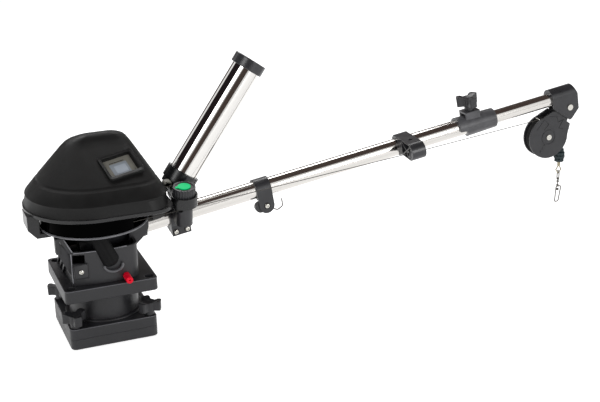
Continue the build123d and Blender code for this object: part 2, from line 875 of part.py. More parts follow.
# ================================================================ cable guide, clamps and lock
hook_start = at_boom(hook_s + 3, hook_y, hook_screw_h - 5)
hook_low = at_boom(hook_s + 20, hook_y, hook_screw_h - 17)
hook_way = (hook_low - hook_start).normalized()
with BuildPart() as hook_clamp:
    with BuildSketch(across(hook_s - 14)):
        Circle(outer_r + hook_wall)
        Circle(outer_r, mode=Mode.SUBTRACT)
        with Locations((0, -outer_r)):
            Rectangle(14, 30, mode=Mode.SUBTRACT)
    extrude(amount=28)
    with BuildSketch(beside(-outer_r)):
        with Locations((hook_s, hook_screw_h)):
            Circle(14)
        with Locations((hook_s, hook_screw_h / 2)):
            Rectangle(28, -hook_screw_h)
    extrude(amount=hook_wall)
    # heel behind the strap, that the wire hook is let into
    with BuildSketch(beside(hook_y + heel_thick / 2)):
        with Locations((hook_s - 11, hook_screw_h - 1)):
            Circle(10)
        with Locations((hook_s, hook_screw_h)):
            Circle(9)
    extrude(amount=outer_r + hook_y + heel_thick / 2)
    with BuildSketch(beside(hook_y + heel_thick / 2)):
        with Locations((hook_s, hook_screw_h)):
            Circle(screw_r)
    extrude(amount=outer_r + hook_wall + hook_y + heel_thick / 2, mode=Mode.SUBTRACT)
    with BuildSketch(Plane(origin=hook_start, z_dir=hook_way)):
        Circle(wire_r)
    extrude(amount=20, mode=Mode.SUBTRACT)
save(hook_clamp, "hook_clamp")

with BuildPart() as guide_block:
    with BuildSketch(across(guide_s)) as guide_profile:
        with BuildLine():
            Line((6, guide_top), (guide_flat, guide_top))
            ThreePointArc((guide_flat, guide_top), (guide_nose, guide_top - 15), (guide_flat - 2, guide_low))
            Line((guide_flat - 2, guide_low), (-24, guide_low + 2))
            Line((-24, guide_low + 2), (-10, guide_low - 4))
            Line((-10, guide_low - 4), (14, 14))
            Line((14, 14), (6, guide_top))
        make_face()
        Circle(outer_r, mode=Mode.SUBTRACT)
        with Locations((12, -8)):
            Rectangle(24, 32, mode=Mode.SUBTRACT)
    extrude(amount=guide_len)
    # hollow rear face, stiffened by crossed ribs round the cable's eye
    with BuildSketch(across(guide_s)):
        with Locations(((cable_y + guide_hole_y) / 2 + 1, (guide_top + guide_low) / 2)):
            RectangleRounded(36, guide_top - guide_low - 2 * guide_wall, 7)
        with Locations((cable_y, cable_h)):
            Circle(guide_eye_r + guide_wall, mode=Mode.SUBTRACT)
        for turn in (-35, 35):
            with Locations(Location(((cable_y + guide_hole_y) / 2, (guide_top + guide_low) / 2), turn)):
                Rectangle(60, 2.4, mode=Mode.SUBTRACT)
    extrude(amount=guide_pocket, mode=Mode.SUBTRACT)
    with BuildSketch(over(guide_top)):
        with Locations((guide_s + guide_len / 2, guide_hole_y)):
            Circle(guide_eye_r)
    extrude(amount=-guide_wall, mode=Mode.SUBTRACT)
    with BuildSketch(across(guide_s)):
        with Locations((cable_y, cable_h)):
            Circle(guide_eye_r)
    extrude(amount=guide_len, mode=Mode.SUBTRACT)
save(guide_block, "guide_block")

with BuildPart() as lock_sleeve:
    with BuildSketch(across(sleeve_s)):
        Circle(sleeve_r)
    extrude(amount=sleeve_len, taper=1.5)
    with BuildSketch(over(0)):
        with Locations((knob_s, 0)):
            Rectangle(sleeve_boss_len, sleeve_boss_w)
    extrude(amount=sleeve_boss_h)
    with BuildSketch(across(sleeve_s)):
        Circle(outer_r)
    extrude(amount=outer_end - sleeve_s, mode=Mode.SUBTRACT)
    with BuildSketch(across(outer_end)):
        Circle(inner_r + RUN)
    extrude(amount=20, mode=Mode.SUBTRACT)
    with BuildSketch(beside(0)):
        Polygon((sleeve_s - 1, -2), (sleeve_s + 14, -4), (sleeve_s + 22, -30), (sleeve_s - 1, -30), align=None)
    extrude(amount=40, both=True, mode=Mode.SUBTRACT)
    with BuildSketch(over(outer_r)):
        with Locations((knob_s, 0)):
            Circle(screw_r + RUN)
    extrude(amount=40, mode=Mode.SUBTRACT)
    # slot for the clamp's square nut in the end of the boss
    with BuildSketch(across(knob_s - sleeve_boss_len / 2)):
        with Locations((0, sleeve_boss_h - nut_slot_h)):
            Rectangle(sleeve_boss_w - 8, nut_slot_h)
    extrude(amount=nut_slot_deep, mode=Mode.SUBTRACT)
save(lock_sleeve, "lock_sleeve")


lock_seat = over(sleeve_boss_h + GAP)
lock_centre = Plane(origin=lock_seat.from_local_coords((knob_s, 0, 0)), x_dir=lock_seat.x_dir, z_dir=lock_seat.z_dir)
boom_lock_knob = lobed_knob(lock_centre, lock_knob_size, 150, stem=sleeve_boss_h - outer_r)
save(boom_lock_knob, "boom_lock_knob")

# ================================================================ end cap and pulley head
cap_side = [(cap_start, cap_top + 1), (947, cap_top + 1), (953, 4), (953, -26.5), (936.6, -43), (931.4, -45),
            (cap_start, -14.6)]
with BuildPart() as end_cap:
    with BuildSketch(beside(0)):
        Polygon(*cap_side, align=None)
    extrude(amount=cap_half, both=True)
    # half-round ridge along the top
    with BuildSketch(across(cap_start)):
        with Locations((0, cap_top - cap_half)):
            Circle(cap_half)
            Rectangle(2 * cap_half, 80, align=(Align.CENTER, Align.MAX))
    extrude(amount=60, mode=Mode.INTERSECT)
    with BuildSketch(across(880)):
        Circle(inner_r)
        with Locations((0, -inner_r - 20)):
            Rectangle(2 * cheek_in, 2 * (inner_r + 13))
    extrude(amount=inner_end - 880, mode=Mode.SUBTRACT)
    with BuildSketch(across(inner_end - 1)):
        with Locations((0, -33)):
            Rectangle(2 * cheek_in, 40)
    extrude(amount=40, mode=Mode.SUBTRACT)
    with BuildSketch(beside(-cap_half)):
        with Locations((bolt_s, bolt_h)):
            Circle(bolt_r)
    extrude(amount=-2 * cap_half, mode=Mode.SUBTRACT)
save(end_cap, "end_cap")

with BuildPart() as head_bolt:
    with BuildSketch(beside(-cap_half)):
        with Locations((bolt_s, bolt_h)):
            Circle(bolt_r)
    extrude(amount=-2 * cap_half)
    for y, way in ((-cap_half, 1), (cap_half, -1)):
        with BuildSketch(beside(y)):
            with Locations((bolt_s, bolt_h)):
                Circle(bolt_r + 1.8)
        extrude(amount=2.2 * way)
save(head_bolt, "head_bolt")

for sign, name in ((-1, "near"), (1, "far")):
    with BuildPart() as head_plate:
        with BuildSketch(beside(sign * (head_half - head_thick))):
            with Locations((axle_s, axle_h)):
                Circle(head_r)
            Polygon((879, -27), (901, -20), (934, -55), (924, -80), (880, -70), align=None)
            Polygon((901, -24), (921, -9), (942, -24), (926, -50), align=None)
            with Locations((bolt_s, bolt_h)):
                Circle(bolt_r + 5)
                Circle(bolt_r + RUN, mode=Mode.SUBTRACT)
            with Locations((axle_s, axle_h)):
                Circle(axle_r, mode=Mode.SUBTRACT)
        extrude(amount=-head_thick * sign)
        if sign > 0:
            # stop between the plates, moulded on the far one
            with BuildSketch(beside(head_half - head_thick)):
                Polygon((920, -46), (932, -54), (929, -60), align=None)
            extrude(amount=2 * (head_half - head_thick))
    save(head_plate, f"head_plate_{name}")

with BuildPart() as wheel_axle:
    with BuildSketch(beside(-head_half)):
        with Locations((axle_s, axle_h)):
            Circle(axle_r)
    extrude(amount=-2 * head_half)
    for y, way in ((-head_half, 1), (head_half, -1)):
        with BuildSketch(beside(y)):
            with Locations((axle_s, axle_h)):
                Circle(axle_r + 1.4)
        extrude(amount=2 * way)
save(wheel_axle, "wheel_axle")

wheel_axis = Axis(at_boom(axle_s, 0, axle_h), (0, 1, 0))
wheel_plane = Plane(origin=at_boom(axle_s, 0, axle_h), x_dir=(0, 1, 0), z_dir=boom.x_dir)
groove_r = line_r - cable_r - GAP
with BuildPart() as pulley_wheel:
    with BuildSketch(wheel_plane):
        with BuildLine():
            Line((-wheel_half, axle_r + RUN), (wheel_half, axle_r + RUN))
            Line((wheel_half, axle_r + RUN), (wheel_half, wheel_r))
            Line((wheel_half, wheel_r), (wheel_half - 1.6, wheel_r))
            Line((wheel_half - 1.6, wheel_r), (cable_r + 0.3, groove_r))
            Line((cable_r + 0.3, groove_r), (-cable_r - 0.3, groove_r))
            Line((-cable_r - 0.3, groove_r), (1.6 - wheel_half, wheel_r))
            Line((1.6 - wheel_half, wheel_r), (-wheel_half, wheel_r))
            Line((-wheel_half, wheel_r), (-wheel_half, axle_r + RUN))
        make_face()
    revolve(axis=wheel_axis)
save(pulley_wheel, "pulley_wheel")

# ================================================================ cable
wheel_centre = at_boom(axle_s, 0, axle_h)
cable_start = Vector(spool_x, -wrap_r - cable_r - GAP, cable_z)
cable_turn = at_boom(guide_s + guide_len + 1, cable_y, cable_h)
cable_end = wheel_centre + Vector(0, 0, line_r)
cable_near = cable_end + Vector(-22, 0, -0.6)
cable_split = cable_turn + (cable_near - cable_turn) * 0.55
with BuildPart() as cable_run:
    with BuildLine() as run_path:
        FilletPolyline(cable_start, cable_turn, cable_split, radius=cable_bend)
    with BuildSketch(Plane(origin=cable_start, z_dir=run_path.line % 0)):
        Circle(cable_r)
    sweep()
save(cable_run, "cable_run")

with BuildPart() as cable_lead:
    with BuildLine() as lead_path:
        FilletPolyline(cable_split, cable_near, cable_end, radius=cable_bend)
    with BuildSketch(Plane(origin=cable_split, z_dir=lead_path.line % 0)):
        Circle(cable_r)
    sweep()
save(cable_lead, "cable_lead")

drop_top = wheel_centre + Vector(line_r, 0, 0)
with BuildPart() as cable_drop:
    with BuildLine() as drop_path:
        ThreePointArc(cable_end, wheel_centre + Vector(1, 0, 1).normalized() * line_r, drop_top)
        Line(drop_top, (drop_top.X, 0, stopper_low))
    with BuildSketch(Plane(origin=cable_end, z_dir=(1, 0, 0))):
        Circle(cable_r)
    sweep()
save(cable_drop, "cable_drop")

drop_axis = Axis((drop_top.X, 0, 0), (0, 0, 1))
drop_side = Plane(origin=(drop_top.X, 0, 0), x_dir=(1, 0, 0), z_dir=(0, -1, 0))
with BuildPart() as cable_stopper:
    with BuildSketch(drop_side):
        with Locations((cable_r, stopper_low)):
            Rectangle(stopper_core - cable_r, stopper_top - stopper_low, align=(Align.MIN, Align.MIN))
        for i in range(4):
            with Locations((cable_r, stopper_low + i * stopper_pitch)):
                Rectangle(stopper_r - cable_r, stopper_fin, align=(Align.MIN, Align.MIN))
    revolve(axis=drop_axis)
save(cable_stopper, "cable_stopper")

# crimp with the fixed ring that the snap hangs from
with BuildPart() as cable_crimp:
    with BuildSketch(Plane.XY.offset(stopper_low)):
        with Locations((drop_top.X, 0)):
            Circle(3)
    extrude(amount=-9)
    with BuildLine():
        Polyline((drop_top.X, 0, stopper_low - 8), (drop_top.X + ring_half, 0, ring_z),
                 (drop_top.X, 0, ring_z - 8), (drop_top.X - ring_half, 0, ring_z), (drop_top.X, 0, stopper_low - 8))
    with BuildSketch(Plane(origin=(drop_top.X, 0, stopper_low - 8), z_dir=(ring_half, 0, ring_z - stopper_low + 8))):
        Circle(wire_r)
    sweep(transition=Transition.ROUND)
save(cable_crimp, "cable_crimp")

# snap: a link through the ring, a bead and the long spring loop
link_top = ring_z - 3
with BuildPart() as snap_link:
    with BuildLine():
        FilletPolyline((drop_top.X, -link_half, link_top), (drop_top.X, link_half, link_top),
                       (drop_top.X, link_half, link_low), (drop_top.X, -link_half, link_low),
                       radius=link_half * 0.9, close=True)
    with BuildSketch(Plane(origin=(drop_top.X, -link_half, (link_top + link_low) / 2), z_dir=(0, 0, 1))):
        Circle(wire_r)
    sweep()
save(snap_link, "snap_link")

# two beads on a short stem, and the long loop they carry
bead_top = link_low - wire_r - GAP
loop_top = bead_top - 13
with BuildPart() as snap_loop:
    with BuildSketch(drop_side):
        for z in (bead_top - bead_r, bead_top - 8 - bead_r):
            with Locations((0, z)):
                Circle(bead_r)
        with Locations((0, (bead_top - bead_r + loop_top) / 2)):
            Rectangle(2 * wire_r, bead_top - bead_r - loop_top)
        with Locations((-10, link_low)):
            Rectangle(20, 80, mode=Mode.SUBTRACT)
    revolve(axis=drop_axis)
    with BuildLine():
        FilletPolyline((drop_top.X - 3, 0, loop_top), (drop_top.X + 8, 0, loop_top),
                       (drop_top.X + 3, 0, loop_low), (drop_top.X - 5, 0, loop_low),
                       radius=2.4, close=True)
    with BuildSketch(Plane(origin=(drop_top.X, 0, loop_top), z_dir=(1, 0, 0))):
        Circle(wire_r)
    sweep()
save(snap_loop, "snap_loop")

# ================================================================ rod holder
# The clamp is rolled about the boom, and its column stands upright in the boom's own plane.
roll = radians(bracket_roll)
rolled_y = Vector(0, cos(roll), 0) + boom.z_dir * sin(roll)
post = Plane(origin=at_boom(post_s), x_dir=(1, 0, 0), z_dir=(0, -sin(roll), cos(roll)))


def on_post(h, x=0, y=0):
    """Plane across the rod holder's column at height h."""
    return Plane(origin=post.from_local_coords((post_x + x, post_y + y, h)), x_dir=post.x_dir, z_dir=post.z_dir)


def beside_clamp(y):
    """Plane along the boom at y in the rolled clamp, looking out of its screws' heads."""
    return Plane(origin=at_boom(0) + rolled_y * y, x_dir=boom.x_dir, z_dir=-rolled_y)


screw_places = [(clamp_s + s, -clamp_screw_h) for s in (-clamp_screw_s, clamp_screw_s)]
cable_way = (cable_turn - cable_start).normalized()
with BuildPart() as rod_bracket:
    with BuildSketch(across(clamp_s - clamp_len / 2, bracket_roll)):
        Circle(clamp_r)
        Rectangle(2 * ear_y, ear_h, align=(Align.CENTER, Align.MAX))
        with Locations((-clamp_split, 0)):
            Rectangle(80, 90, align=(Align.MIN, Align.CENTER), mode=Mode.SUBTRACT)
    extrude(amount=clamp_len)
    with BuildSketch(on_post(column_low)):
        Circle(column_r)
        Rectangle(2 * column_r, -post_y - 14, align=(Align.CENTER, Align.MIN))
    extrude(amount=column_top - column_low)
    with BuildSketch(across(clamp_s - clamp_len)):
        Circle(outer_r)
    extrude(amount=2 * clamp_len, mode=Mode.SUBTRACT)
    with BuildSketch(beside_clamp(0)):
        with Locations(screw_places):
            Circle(screw_r)
    extrude(amount=60, mode=Mode.SUBTRACT)
    with BuildSketch(on_post(column_top - 20)):
        Circle(screw_r + RUN)
    extrude(amount=30, mode=Mode.SUBTRACT)
    with BuildSketch(Plane(origin=cable_start, z_dir=cable_way)):
        Circle(4)
    extrude(amount=300, mode=Mode.SUBTRACT)
save(rod_bracket, "rod_bracket")

with BuildPart() as bracket_clamp:
    with BuildSketch(across(clamp_s - clamp_len / 2, bracket_roll)):
        Circle(clamp_r)
        Rectangle(2 * ear_y, ear_h, align=(Align.CENTER, Align.MAX))
        with Locations((clamp_split, 0)):
            Rectangle(80, 90, align=(Align.MAX, Align.CENTER), mode=Mode.SUBTRACT)
    extrude(amount=clamp_len)
    with BuildSketch(across(clamp_s - clamp_len)):
        Circle(outer_r)
    extrude(amount=2 * clamp_len, mode=Mode.SUBTRACT)
    with BuildSketch(beside_clamp(0)):
        with Locations(screw_places):
            Circle(screw_r)
    extrude(amount=-60, mode=Mode.SUBTRACT)
save(bracket_clamp, "bracket_clamp")

rod_dir = Vector(cos(radians(rod_angle)), 0, sin(radians(rod_angle)))


def on_rod(t):
    """Plane across the rod tube, t along it from the cup's mouth."""
    return Plane(origin=Vector(*rod_mouth) + rod_dir * t, x_dir=(0, 1, 0), z_dir=rod_dir)


collar_low = column_top + GAP
knob_seat = collar_low + 5
with BuildPart() as rod_collar:
    with BuildSketch(on_post(collar_low)):
        Circle(collar_r)
        Rectangle(1.5 * collar_r, -post_y - 2, align=(Align.CENTER, Align.MIN))
    extrude(amount=collar_lip - collar_low)
    with BuildSketch(on_rod(-cup_deep)):
        Circle(cup_r)
    extrude(amount=cup_deep)
    with BuildSketch(on_rod(-neck_deep)):
        Circle(cup_r - 3)
    extrude(amount=neck_deep - cup_deep)
    with BuildSketch(on_rod(-tube_seat)):
        Circle(rod_r)
    extrude(amount=tube_seat + 30, mode=Mode.SUBTRACT)
    with BuildSketch(on_post(knob_seat)):
        Circle(collar_r - 2.6)
    extrude(amount=60, mode=Mode.SUBTRACT)
    with BuildSketch(on_post(collar_low)):
        Circle(screw_r + GAP)
    extrude(amount=10, mode=Mode.SUBTRACT)
save(rod_collar, "rod_collar")

with BuildPart() as rod_tube:
    with BuildSketch(on_rod(-tube_seat)):
        Circle(rod_r)
        Circle(rod_r - rod_wall, mode=Mode.SUBTRACT)
    extrude(amount=tube_seat + rod_len)
save(rod_tube, "rod_tube")

with BuildPart() as rim_cap:
    with BuildSketch(on_rod(rod_len - cap_deep)):
        Circle(cap_r)
        Circle(rod_r, mode=Mode.SUBTRACT)
    extrude(amount=cap_deep)
    with BuildSketch(on_rod(rod_len)):
        Circle(cap_r)
        Circle(rod_r - rod_wall + 0.3, mode=Mode.SUBTRACT)
    extrude(amount=3)
    fillet(rim_cap.edges().filter_by(GeomType.CIRCLE).group_by(SortBy.RADIUS)[-1], 1.5)
save(rim_cap, "rim_cap")

with BuildPart() as rod_knob:
    with BuildSketch(on_post(knob_seat + GAP)):
        Circle(rod_knob_r)
        with PolarLocations(rod_knob_r + 0.9, 24):
            Circle(1.8, mode=Mode.SUBTRACT)
    extrude(amount=rod_knob_top - knob_seat - GAP)
    with BuildSketch(on_post(rod_knob_top)):
        Circle(disc_r + 5)
    extrude(amount=-1.2, mode=Mode.SUBTRACT)
    with BuildSketch(on_post(column_top - 18)):
        Circle(screw_r)
    extrude(amount=knob_seat + GAP + 2 - column_top + 18)
save(rod_knob, "rod_knob")

with BuildPart() as knob_disc:
    with BuildSketch(on_post(rod_knob_top - 1.2)):
        Circle(disc_r)
        with Locations((-disc_r - 1, 0)):
            Rectangle(7, 4.5)
    extrude(amount=2)
save(knob_disc, "knob_disc")

with BuildPart() as line_hook:
    with BuildLine():
        FilletPolyline(hook_start, hook_low, at_boom(hook_s + 31, hook_y, hook_screw_h - 12),
                       at_boom(hook_s + 31, hook_y, hook_screw_h + 2), radius=5)
    with BuildSketch(Plane(origin=hook_start, z_dir=hook_way)):
        Circle(wire_r)
    sweep(transition=Transition.ROUND)
save(line_hook, "line_hook")

# round-headed screws of the bracket, the hook and the frame
hook_screw_back = hook_y + heel_thick / 2 + 1
with BuildPart() as fitting_screws:
    with BuildSketch(beside_clamp(ear_y)):
        with Locations(screw_places):
            Circle(screw_r)
    extrude(amount=2 * ear_y)
    with BuildSketch(beside_clamp(-ear_y)):
        with Locations(screw_places):
            Circle(screw_head_r)
    extrude(amount=screw_head_h)
    with BuildSketch(beside(hook_screw_back)):
        with Locations((hook_s, hook_screw_h)):
            Circle(screw_r)
    extrude(amount=outer_r + hook_wall + hook_screw_back)
    with BuildSketch(beside(-outer_r - hook_wall)):
        with Locations((hook_s, hook_screw_h)):
            Circle(screw_head_r)
    extrude(amount=screw_head_h)
    with BuildSketch(front(pad_face)):
        with Locations((pad_x, pad_z)):
            Circle(screw_head_r)
    extrude(amount=screw_head_h)
save(fitting_screws, "fitting_screws")
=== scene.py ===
"""Looks of an electric fishing downrigger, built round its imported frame.

Sizes and places are in millimetres, and each mesh turns to metres as it is made. +Z is up, and the boom
points along +X.
"""
import math

import bmesh
import bpy
from mathutils import Matrix, Vector

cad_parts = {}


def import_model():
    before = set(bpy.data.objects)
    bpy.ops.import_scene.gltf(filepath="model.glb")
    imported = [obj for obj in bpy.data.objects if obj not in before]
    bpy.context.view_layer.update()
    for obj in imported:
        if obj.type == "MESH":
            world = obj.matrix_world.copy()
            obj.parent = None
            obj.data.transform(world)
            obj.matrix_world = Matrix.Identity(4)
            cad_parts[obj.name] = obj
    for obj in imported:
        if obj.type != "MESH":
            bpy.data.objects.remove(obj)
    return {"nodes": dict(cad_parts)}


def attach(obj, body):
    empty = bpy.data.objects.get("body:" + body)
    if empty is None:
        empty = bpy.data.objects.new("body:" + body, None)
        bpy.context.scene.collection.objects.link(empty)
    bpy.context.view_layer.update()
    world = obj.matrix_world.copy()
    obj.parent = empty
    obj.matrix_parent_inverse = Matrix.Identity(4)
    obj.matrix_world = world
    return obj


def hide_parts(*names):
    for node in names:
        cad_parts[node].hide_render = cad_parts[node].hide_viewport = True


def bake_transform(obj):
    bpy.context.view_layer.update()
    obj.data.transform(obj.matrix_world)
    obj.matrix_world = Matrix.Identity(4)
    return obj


MM = 0.001
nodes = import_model()["nodes"]
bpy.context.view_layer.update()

# ---------------------------------------------------------------- the object's own axes
BOOM_PITCH = math.radians(8.71)
BOOM_Z = 166.4              # height of the boom's axis over the base's middle
ROD_TILT = math.radians(54.6)
ALONG = Vector((math.cos(BOOM_PITCH), 0, math.sin(BOOM_PITCH)))
UPWARD = Vector((-math.sin(BOOM_PITCH), 0, math.cos(BOOM_PITCH)))
ACROSS = Vector((0, 1, 0))


def on_boom(s, y=0, h=0):
    """Point s along the boom, y across it and h above its axis."""
    return Vector((0, 0, BOOM_Z)) + ALONG * s + ACROSS * y + UPWARD * h


# ---------------------------------------------------------------- materials
PATCHES = 45.0              # soft patches of shade along a metre of any finish
NOISE_LOW, NOISE_HIGH = 0.3, 0.7    # between these lies most of what a noise gives
ROUGH_SPREAD = 0.12         # share by which roughness varies from patch to patch
BUMP_STRENGTH = 0.35


def linear(hex_colour):
    """An sRGB hex colour as linear red, green, blue and alpha."""
    parts = [int(hex_colour[i:i + 2], 16) / 255 for i in (1, 3, 5)]
    return [c / 12.92 if c <= 0.04045 else ((c + 0.055) / 1.055) ** 2.4 for c in parts] + [1.0]


def add(tree, kind, sockets=None, **settings):
    """Adds a node: settings are its attributes, and sockets its inputs, as values or as outputs to link."""
    node = tree.nodes.new("ShaderNode" + kind)
    for name, value in settings.items():
        setattr(node, name, value)
    for name, value in (sockets or {}).items():
        if isinstance(value, bpy.types.NodeSocket):
            tree.links.new(value, node.inputs[name])
        else:
            node.inputs[name].default_value = value
    return node


def surface(name, colour, roughness, grain=0.5, depth=0.02, mottle=0.12, edge=0.5, stretch=None, **sockets):
    """A finish with its moulded, ground or drawn grain. grain, depth and edge are in millimetres.

    The real grain is about a tenth of a millimetre. It is drawn several times as coarse, so that it shows.
    stretch turns and scales the pattern, for a grain that runs along a tube.
    """
    material = bpy.data.materials.new(name)
    material.use_nodes = True
    tree = material.node_tree
    shader = tree.nodes["Principled BSDF"]
    place = add(tree, "TexCoord").outputs["Object"]
    if stretch:
        turned = add(tree, "Mapping", {"Vector": place, "Rotation": stretch[0], "Scale": stretch[1]})
        place = turned.outputs["Vector"]
    fine = add(tree, "TexNoise", {"Vector": place, "Scale": 1 / (grain * MM), "Detail": 3, "Roughness": 0.6})
    broad = add(tree, "TexNoise", {"Vector": place, "Scale": PATCHES, "Detail": 4, "Roughness": 0.55})
    patches = {"Value": broad.outputs["Fac"], "From Min": NOISE_LOW, "From Max": NOISE_HIGH}
    shade = add(tree, "MapRange", {**patches, "To Min": 1 - mottle, "To Max": 1 + mottle})
    tint = add(tree, "VectorMath", {0: linear(colour)[:3], "Scale": shade.outputs["Result"]},
               operation="SCALE")
    rough = add(tree, "MapRange", {**patches, "To Min": roughness * (1 - ROUGH_SPREAD),
                                   "To Max": min(1, roughness * (1 + ROUGH_SPREAD))})
    rounded = add(tree, "Bevel", {"Radius": edge * MM}, samples=4)
    bump = add(tree, "Bump", {"Height": fine.outputs["Fac"], "Strength": BUMP_STRENGTH,
                              "Distance": depth * MM, "Normal": rounded.outputs["Normal"]})
    tree.links.new(tint.outputs["Vector"], shader.inputs["Base Color"])
    tree.links.new(rough.outputs["Result"], shader.inputs["Roughness"])
    tree.links.new(bump.outputs["Normal"], shader.inputs["Normal"])
    for key, value in sockets.items():
        shader.inputs[key.replace("_", " ")].default_value = value
    return material


DRAW_LINES = (0.02, 1, 1)   # a grain fifty times as long as it is wide
# Glass-filled nylon, injection moulded with a fine spark-eroded texture: dark grey with a broad soft sheen.
filled_nylon = surface("filled_nylon", "#242427", 0.42, grain=0.55, depth=0.07, mottle=0.12, edge=2.0)
# The same nylon on small fittings, a little lighter where handling has polished it.
fitting_nylon = surface("fitting_nylon", "#2c2c2f", 0.36, grain=0.5, depth=0.07, mottle=0.2, edge=1.2)
# Pale nylon of the strips along the plates' edges and of the inlet's cup: painted highlight, the light that
# those edges and the cup's lip catch.
painted_highlight_nylon = surface("painted_highlight_nylon", "#5c5c60", 0.3, grain=0.5, depth=0.03, mottle=0.12, edge=0.5)
# Palest nylon, for the strips along the frame's thin walls: painted highlight along their top edges.
painted_wall_highlight = surface("painted_wall_highlight", "#828287", 0.3, grain=0.5, depth=0.03, mottle=0.2, edge=0.5)
# ABS of the cover, finely grained: nearly black, with a wide dull sheen.
grained_abs = surface("grained_abs", "#111111", 0.5, grain=0.8, depth=0.14, mottle=0.08, edge=0.6,
                      Specular_IOR_Level=0.26)
# Near-black matt ABS, darker than the cover's: painted shade on the display recess's walls and in the rings
# round the screws, which stand in shade; also the pulley wheel and the display's bar.
shaded_abs = surface("shaded_abs", "#0b0b0c", 0.7, grain=0.6, depth=0.03, mottle=0.1, edge=0.4)
# ABS of the tray and the rod holder's collar, smoother, so that edges catch a clear highlight.
satin_abs = surface("satin_abs", "#131315", 0.27, grain=0.5, depth=0.02, mottle=0.08, edge=0.9)
# Nylon of the fittings along the boom, paled by sun and salt to a dark grey with a soft sheen.
paled_nylon = surface("paled_nylon", "#303033", 0.3, grain=0.5, depth=0.07, mottle=0.22, edge=1.2)
# The lock's sleeve, in a paler copy of the nylon: painted highlight, the broad sheen that it catches from
# above.
painted_highlight_sleeve = surface("painted_highlight_sleeve", "#525255", 0.32, grain=0.5, depth=0.05, mottle=0.25, edge=1.0)
# Polished black acetal of the spool: deep black with mirror-like highlights.
polished_acetal = surface("polished_acetal", "#020203", 0.16, grain=1.5, depth=0.004, mottle=0.2, edge=0.5,
                          Specular_IOR_Level=0.22)
# The spool's rolled lip, paler than the rest of the spool: painted highlight, the thin bright line along its
# edge.
painted_highlight_lip = surface("painted_highlight_lip", "#6e6e72", 0.22, grain=1.5, depth=0.004, mottle=0.1, edge=0.3)
# The guard round the spool, lacquered deep black: it stays dark and shines only at a glance.
lacquered_guard = surface("lacquered_guard", "#010101", 0.14, grain=2.0, depth=0.004, mottle=0.2, edge=0.8,
                          Specular_IOR_Level=0.012)
# Neoprene boot of the cable inlet: soft, matt, nearly black.
neoprene_boot = surface("neoprene_boot", "#0c0c0d", 0.6, grain=0.9, depth=0.12, mottle=0.2, edge=0.3,
                        Specular_IOR_Level=0.15)
# Stainless tube, drawn and polished lengthwise: long streaks of reflection and faint draw lines.
drawn_stainless = surface("drawn_stainless", "#d9d6d2", 0.15, grain=0.6, depth=0.004, mottle=0.02, edge=0.4,
                          stretch=((0, BOOM_PITCH, 0), DRAW_LINES), Metallic=1.0)
# The rod tube's stainless, buffed brighter, its draw lines along the tilted tube.
buffed_stainless = surface("buffed_stainless", "#e2e0dd", 0.05, grain=0.6, depth=0.003, mottle=0.015,
                           edge=0.4, stretch=((0, ROD_TILT, 0), DRAW_LINES), Metallic=1.0)
# Zinc-plated steel of the screws, studs and axles: bright, slightly uneven.
plated_steel = surface("plated_steel", "#cfcdc6", 0.24, grain=0.4, depth=0.01, mottle=0.08, edge=0.25,
                       Metallic=1.0)
# Machined steel inside the machine: mid grey with a soft shine.
machined_steel = surface("machined_steel", "#9a9a9c", 0.33, grain=0.3, depth=0.01, mottle=0.08, edge=0.3,
                         Metallic=1.0)
# Stranded stainless cable, dulled by salt water: its fine lay shines nowhere and reads as a warm dark grey.
stranded_cable = surface("stranded_cable", "#4d4a46", 0.6, grain=0.5, depth=0.05, mottle=0.2, edge=0.1,
                         Specular_IOR_Level=0.3)
# Red acetal of the lock pin, moulded: strong red with a satin sheen.
red_acetal = surface("red_acetal", "#f4002c", 0.4, grain=0.6, depth=0.02, mottle=0.05, edge=0.4,
                     Specular_IOR_Level=0.25)
# Green polypropylene insert: clear, slightly waxy.
green_insert = surface("green_insert", "#00dc84", 0.5, grain=0.6, depth=0.01, mottle=0.03, edge=0.3,
                       Specular_IOR_Level=0.15)
# Spring steel wire of the snap and the hook, dulled by salt: mid grey.
dull_spring_wire = surface("dull_spring_wire", "#6f6c68", 0.3, grain=0.4, depth=0.01, mottle=0.15, edge=0.15,
                           Metallic=1.0)
# Nitrile rubber of the cable stop, black with a green cast.
nitrile_rubber = surface("nitrile_rubber", "#12262a", 0.55, grain=0.7, depth=0.04, mottle=0.15, edge=0.3)
# Brass crimp sleeve, tarnished.
tarnished_brass = surface("tarnished_brass", "#a39a84", 0.35, grain=0.3, depth=0.01, mottle=0.15, edge=0.2,
                          Metallic=1.0)
# Grey ABS of the display's plate, warm and matt, and of the holder's latch.
grey_abs = surface("grey_abs", "#7b7971", 0.5, grain=0.5, depth=0.02, mottle=0.06, edge=0.3)
# Polycarbonate window over an unlit liquid crystal panel: pale grey with a soft gloss.
display_window = surface("display_window", "#8d949c", 0.3, grain=3.0, depth=0.001, mottle=0.06, edge=0.2)
# The unlit crystal itself: a paler, cooler grey.
unlit_crystal = surface("unlit_crystal", "#a4acb6", 0.35, grain=1.0, depth=0.002, mottle=0.05, edge=0.1)
# Painted highlight: the thin bright line that light finds along the display plate's near side.
painted_highlight_edge = surface("painted_highlight_edge", "#c9c2c0", 0.35, grain=0.6, depth=0.01, mottle=0.05, edge=0.1)
# Circuit board, belt, bush and motor, which the housings hide.
circuit_board = surface("circuit_board", "#14402a", 0.5, grain=0.4, depth=0.02, edge=0.2)
belt_rubber = surface("belt_rubber", "#151515", 0.7, grain=0.6, depth=0.05, edge=0.3)
slide_acetal = surface("slide_acetal", "#d8d6cf", 0.4, grain=0.6, depth=0.01, mottle=0.04, edge=0.3)
enamelled_can = surface("enamelled_can", "#3c3d40", 0.35, grain=0.6, depth=0.02, edge=0.4)

